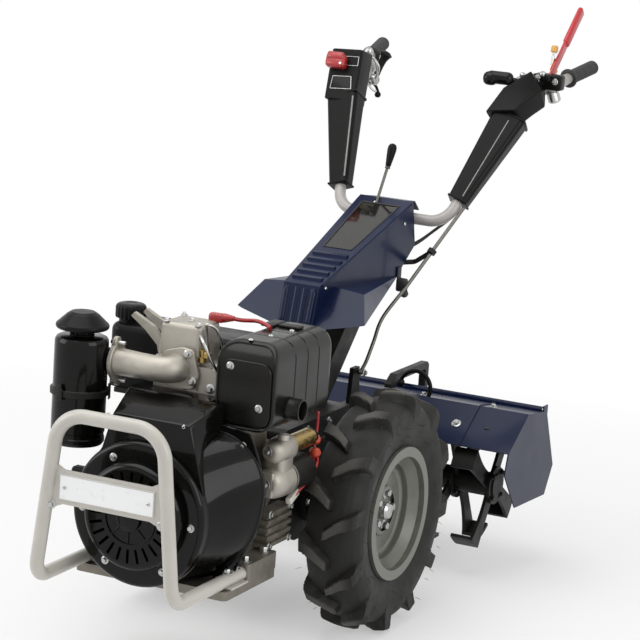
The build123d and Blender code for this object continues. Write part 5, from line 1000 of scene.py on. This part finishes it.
makePiece("RotorNuts", "chassis", body="rotor", bolts=[
    (left * side, 9, 5, *ringOf((side * (place + 8.2), *tillerSpec["rotor"]), tillerSpec["nutCircle"],
                                turns(4, np.pi / 4))) for side in sides for place in tillerSpec["hubs"]])

# Depth skid: a flat bar from the sheet's ridge over the flap's hinge and down to its shoe, outlines as
# (behind, up)
skidSpec = {"bar": [(527, 391), (548, 389), (564, 404), (720, 404), (727, 397), (727, 8), (743, 8),
                    (743, 412), (735, 420), (556, 420), (527, 401)], "barHalf": 9,
            "shoe": [(650, 33), (680, 6), (790, 6), (790, 10.5), (682, 10.5), (654, 36)], "shoeHalf": 30}
makePiece("SkidBar", "chassis", [slab([(-skidSpec[half], *corner) for corner in skidSpec[key]],
                                      left * 2.0 * skidSpec[half], 1.8, 0.8)
                                 for key, half in (("bar", "barHalf"), ("shoe", "shoeHalf"))],
          replaces=("depth_skid",), sharp=34)
makePiece("SkidBolts", "zinc", bolts=[(left, 12, 7, (9, 735, 330), (9, 735, 300))])

# Wheels: five hub nuts round a grease cap, and two pressed rings on the disc
wheelSpec = {"disc": 240, "axle": 258, "nuts": 5, "nutCircle": 38}
for side, word in zip(sides, ("Left", "Right")):
    middle = np.array([side * wheelSpec["disc"], 0, wheelSpec["axle"]])
    way, wheelBody = left * side, "wheel_" + word.lower()
    makePiece("WheelNuts" + word, "zinc", body=wheelBody,
              bolts=[(way, 15, 9, *ringOf(middle + way * 0.2, wheelSpec["nutCircle"],
              turns(wheelSpec["nuts"])))],
              spun=[([(17.6, 0), (19, 2), (19, 14), (15, 19), (0, 20)], middle - way, way, 40)])
    makePiece("DiscRings" + word, "wheel", body=wheelBody, spun=[
        ([(52, 0), (54, 2), (54, 6), (52, 7.5), (44, 8)], middle, way, 64, False),
        ([(86, 0), (90, 3), (96, 3.4), (101, 0.4)], middle, way, 80, False)])

# Gear case: side cover bolts round the axle, bolts and cast ribs on both flanks as (behind, up), filler
# plug
gearSpec = {"axle": (0, 258), "coverCircle": 46,
            "caseBolts": [(-120, 400), (-40, 412), (60, 412), (150, 400), (160, 300)],
            "armBolts": [(210, 350), (300, 350), (390, 350), (300, 284)]}
bolts = [(up, 22, 10, (0, 60, 430))]
for side in sides:
    bolts += [(left * side, 9, 5, *ringOf((side * 86, *gearSpec["axle"]), gearSpec["coverCircle"], turns(8))),
              (left * side, 11, 6, *((side * 72, *place) for place in gearSpec["caseBolts"])),
              (left * side, 10, 6, *((side * 55, *place) for place in gearSpec["armBolts"]))]
makePiece("GearboxBolts", "zinc", bolts=bolts)
makePiece("GearboxRibs", "chassis", boxes=[
    ((side * wide, behind, high), size, 2.2) for side in sides for wide, behind, high, size in
    ((72, 10, 380, (5, 260, 7)), (55, 320, 318, (5, 220, 6)))])
print("tiller and wheels ready")

# Camera at the photograph's angle: degrees round the machine, above it and of roll, metres, image widths
cameraView = {"azimuth": 25.344, "elevation": 11.554, "roll": 3.886, "distance": 5.62965,
              "focalWidths": 4.15714, "target": (0.06465, axle.y, 0.64341), "sensor": 36.0, "clipEnd": 60.0}


# Camera: back is the way from the target at the azimuth and elevation; right and up turn round it by the
# roll
def makeCamera(spec):
    camera = bpy.data.objects.new("Camera", bpy.data.cameras.new("Camera"))
    bpy.context.scene.collection.objects.link(camera)
    turn, lift, roll = np.radians([spec["azimuth"], spec["elevation"], spec["roll"]])
    behind = np.array([np.sin(turn) * np.cos(lift), -np.cos(turn) * np.cos(lift), np.sin(lift)])
    right = np.array([np.cos(turn), np.sin(turn), 0.0])
    rise = np.cross(behind, right)
    columns = np.eye(4)
    columns[:3, 0] = np.cos(roll) * right + np.sin(roll) * rise
    columns[:3, 1] = -np.sin(roll) * right + np.cos(roll) * rise
    columns[:3, 2], columns[:3, 3] = behind, np.array(spec["target"]) + behind * spec["distance"]
    camera.matrix_world = Matrix(columns.tolist())
    camera.data.sensor_width = spec["sensor"]
    camera.data.lens = spec["focalWidths"] * spec["sensor"]
    camera.data.clip_end = spec["clipEnd"]
    bpy.context.scene.camera = camera


makeCamera(cameraView)

# Soft studio: three large lamps, each with its place, the point it looks at, its size and its power
lamps = {
    "TopLamp": {"place": (-0.6, -0.8, 3.6), "aim": (0, 0, 0.4), "size": 3.0, "power": 70},
    "LeftLamp": {"place": (-3.4, -2.4, 1.9), "aim": (0, 0, 0.5), "size": 2.2, "power": 55},
    "RightLamp": {"place": (3.6, -1.2, 2.2), "aim": (0, 0, 0.5), "size": 2.4, "power": 55},
}
for name, spec in lamps.items():
    lamp = bpy.data.objects.new(name, bpy.data.lights.new(name, "AREA"))
    bpy.context.scene.collection.objects.link(lamp)
    lamp.data.size = spec["size"]
    lamp.data.energy = spec["power"]
    lamp.location = spec["place"]
    aim = Vector(spec["aim"]) - Vector(spec["place"])
    lamp.rotation_euler = aim.to_track_quat("-Z", "Y").to_euler()


# The larger or the product of two sources, by the named operation
def combine(tree, operation, first, second):
    return addNode(tree, "ShaderNodeMath", settings={"operation": operation},
                   links={0: first, 1: second}).outputs["Value"]


# One for rays that see the white background straight, in gloss or through glass
def seenRays(tree):
    rays = addNode(tree, "ShaderNodeLightPath").outputs
    seen = combine(tree, "MAXIMUM", rays["Is Camera Ray"], rays["Is Glossy Ray"])
    return combine(tree, "MAXIMUM", seen, rays["Is Transmission Ray"])


# White world: full strength where it is seen, a softer level where it lights the object
def makeWorld(softLevel=0.55):
    world = bpy.data.worlds.new("Studio")
    bpy.context.scene.world = world
    world.use_nodes = True
    tree = world.node_tree
    tree.nodes.clear()
    background = addNode(tree, "ShaderNodeBackground", values={"Color": (1, 1, 1, 1)},
                         links={"Strength": spread(tree, seenRays(tree), 0, 1, softLevel, 1.0)})
    addNode(tree, "ShaderNodeOutputWorld", links={"Surface": background.outputs["Background"]})


makeWorld()

# Floor: matt and pale near the machine, where it takes the shadow, and plain white further out
floorSpec = {"half": 30.0, "shadowEnd": 1.1, "whiteStart": 2.3, "nearGlow": 0.4, "pale": "#f4f4f4"}


# Floor: its glow's share rises with the distance from the middle, for the rays that see it
def makeFloor(spec):
    half = spec["half"]
    mesh = bpy.data.meshes.new("Floor")
    mesh.from_pydata([(-half, -half, 0), (half, -half, 0), (half, half, 0), (-half, half, 0)], [],
        [(0, 1, 2, 3)])
    floor = bpy.data.objects.new("Floor", mesh)
    bpy.context.scene.collection.objects.link(floor)
    material, tree, shader, output = newMaterial("PaleStudioFloor", {
        "Roughness": 0.9, "Base Color": linear(spec["pale"]), "Specular IOR Level": 0.0})
    place = addNode(tree, "ShaderNodeTexCoord")
    reach = addNode(tree, "ShaderNodeVectorMath", settings={"operation": "LENGTH"},
                    links={"Vector": place.outputs["Object"]})
    far = spread(tree, reach.outputs["Value"], spec["shadowEnd"], spec["whiteStart"], spec["nearGlow"], 1)
    glow = addNode(tree, "ShaderNodeEmission", values={"Color": (1, 1, 1, 1), "Strength": 1.0})
    mix = addNode(tree, "ShaderNodeMixShader", links={
        "Fac": combine(tree, "MULTIPLY", far, seenRays(tree)), 1: shader.outputs["BSDF"],
        2: glow.outputs["Emission"]})
    tree.links.new(mix.outputs["Shader"], output.inputs["Surface"])
    mesh.materials.append(material)


makeFloor(floorSpec)
bpy.context.scene.view_settings.view_transform = "Standard"

print("pieces ready")
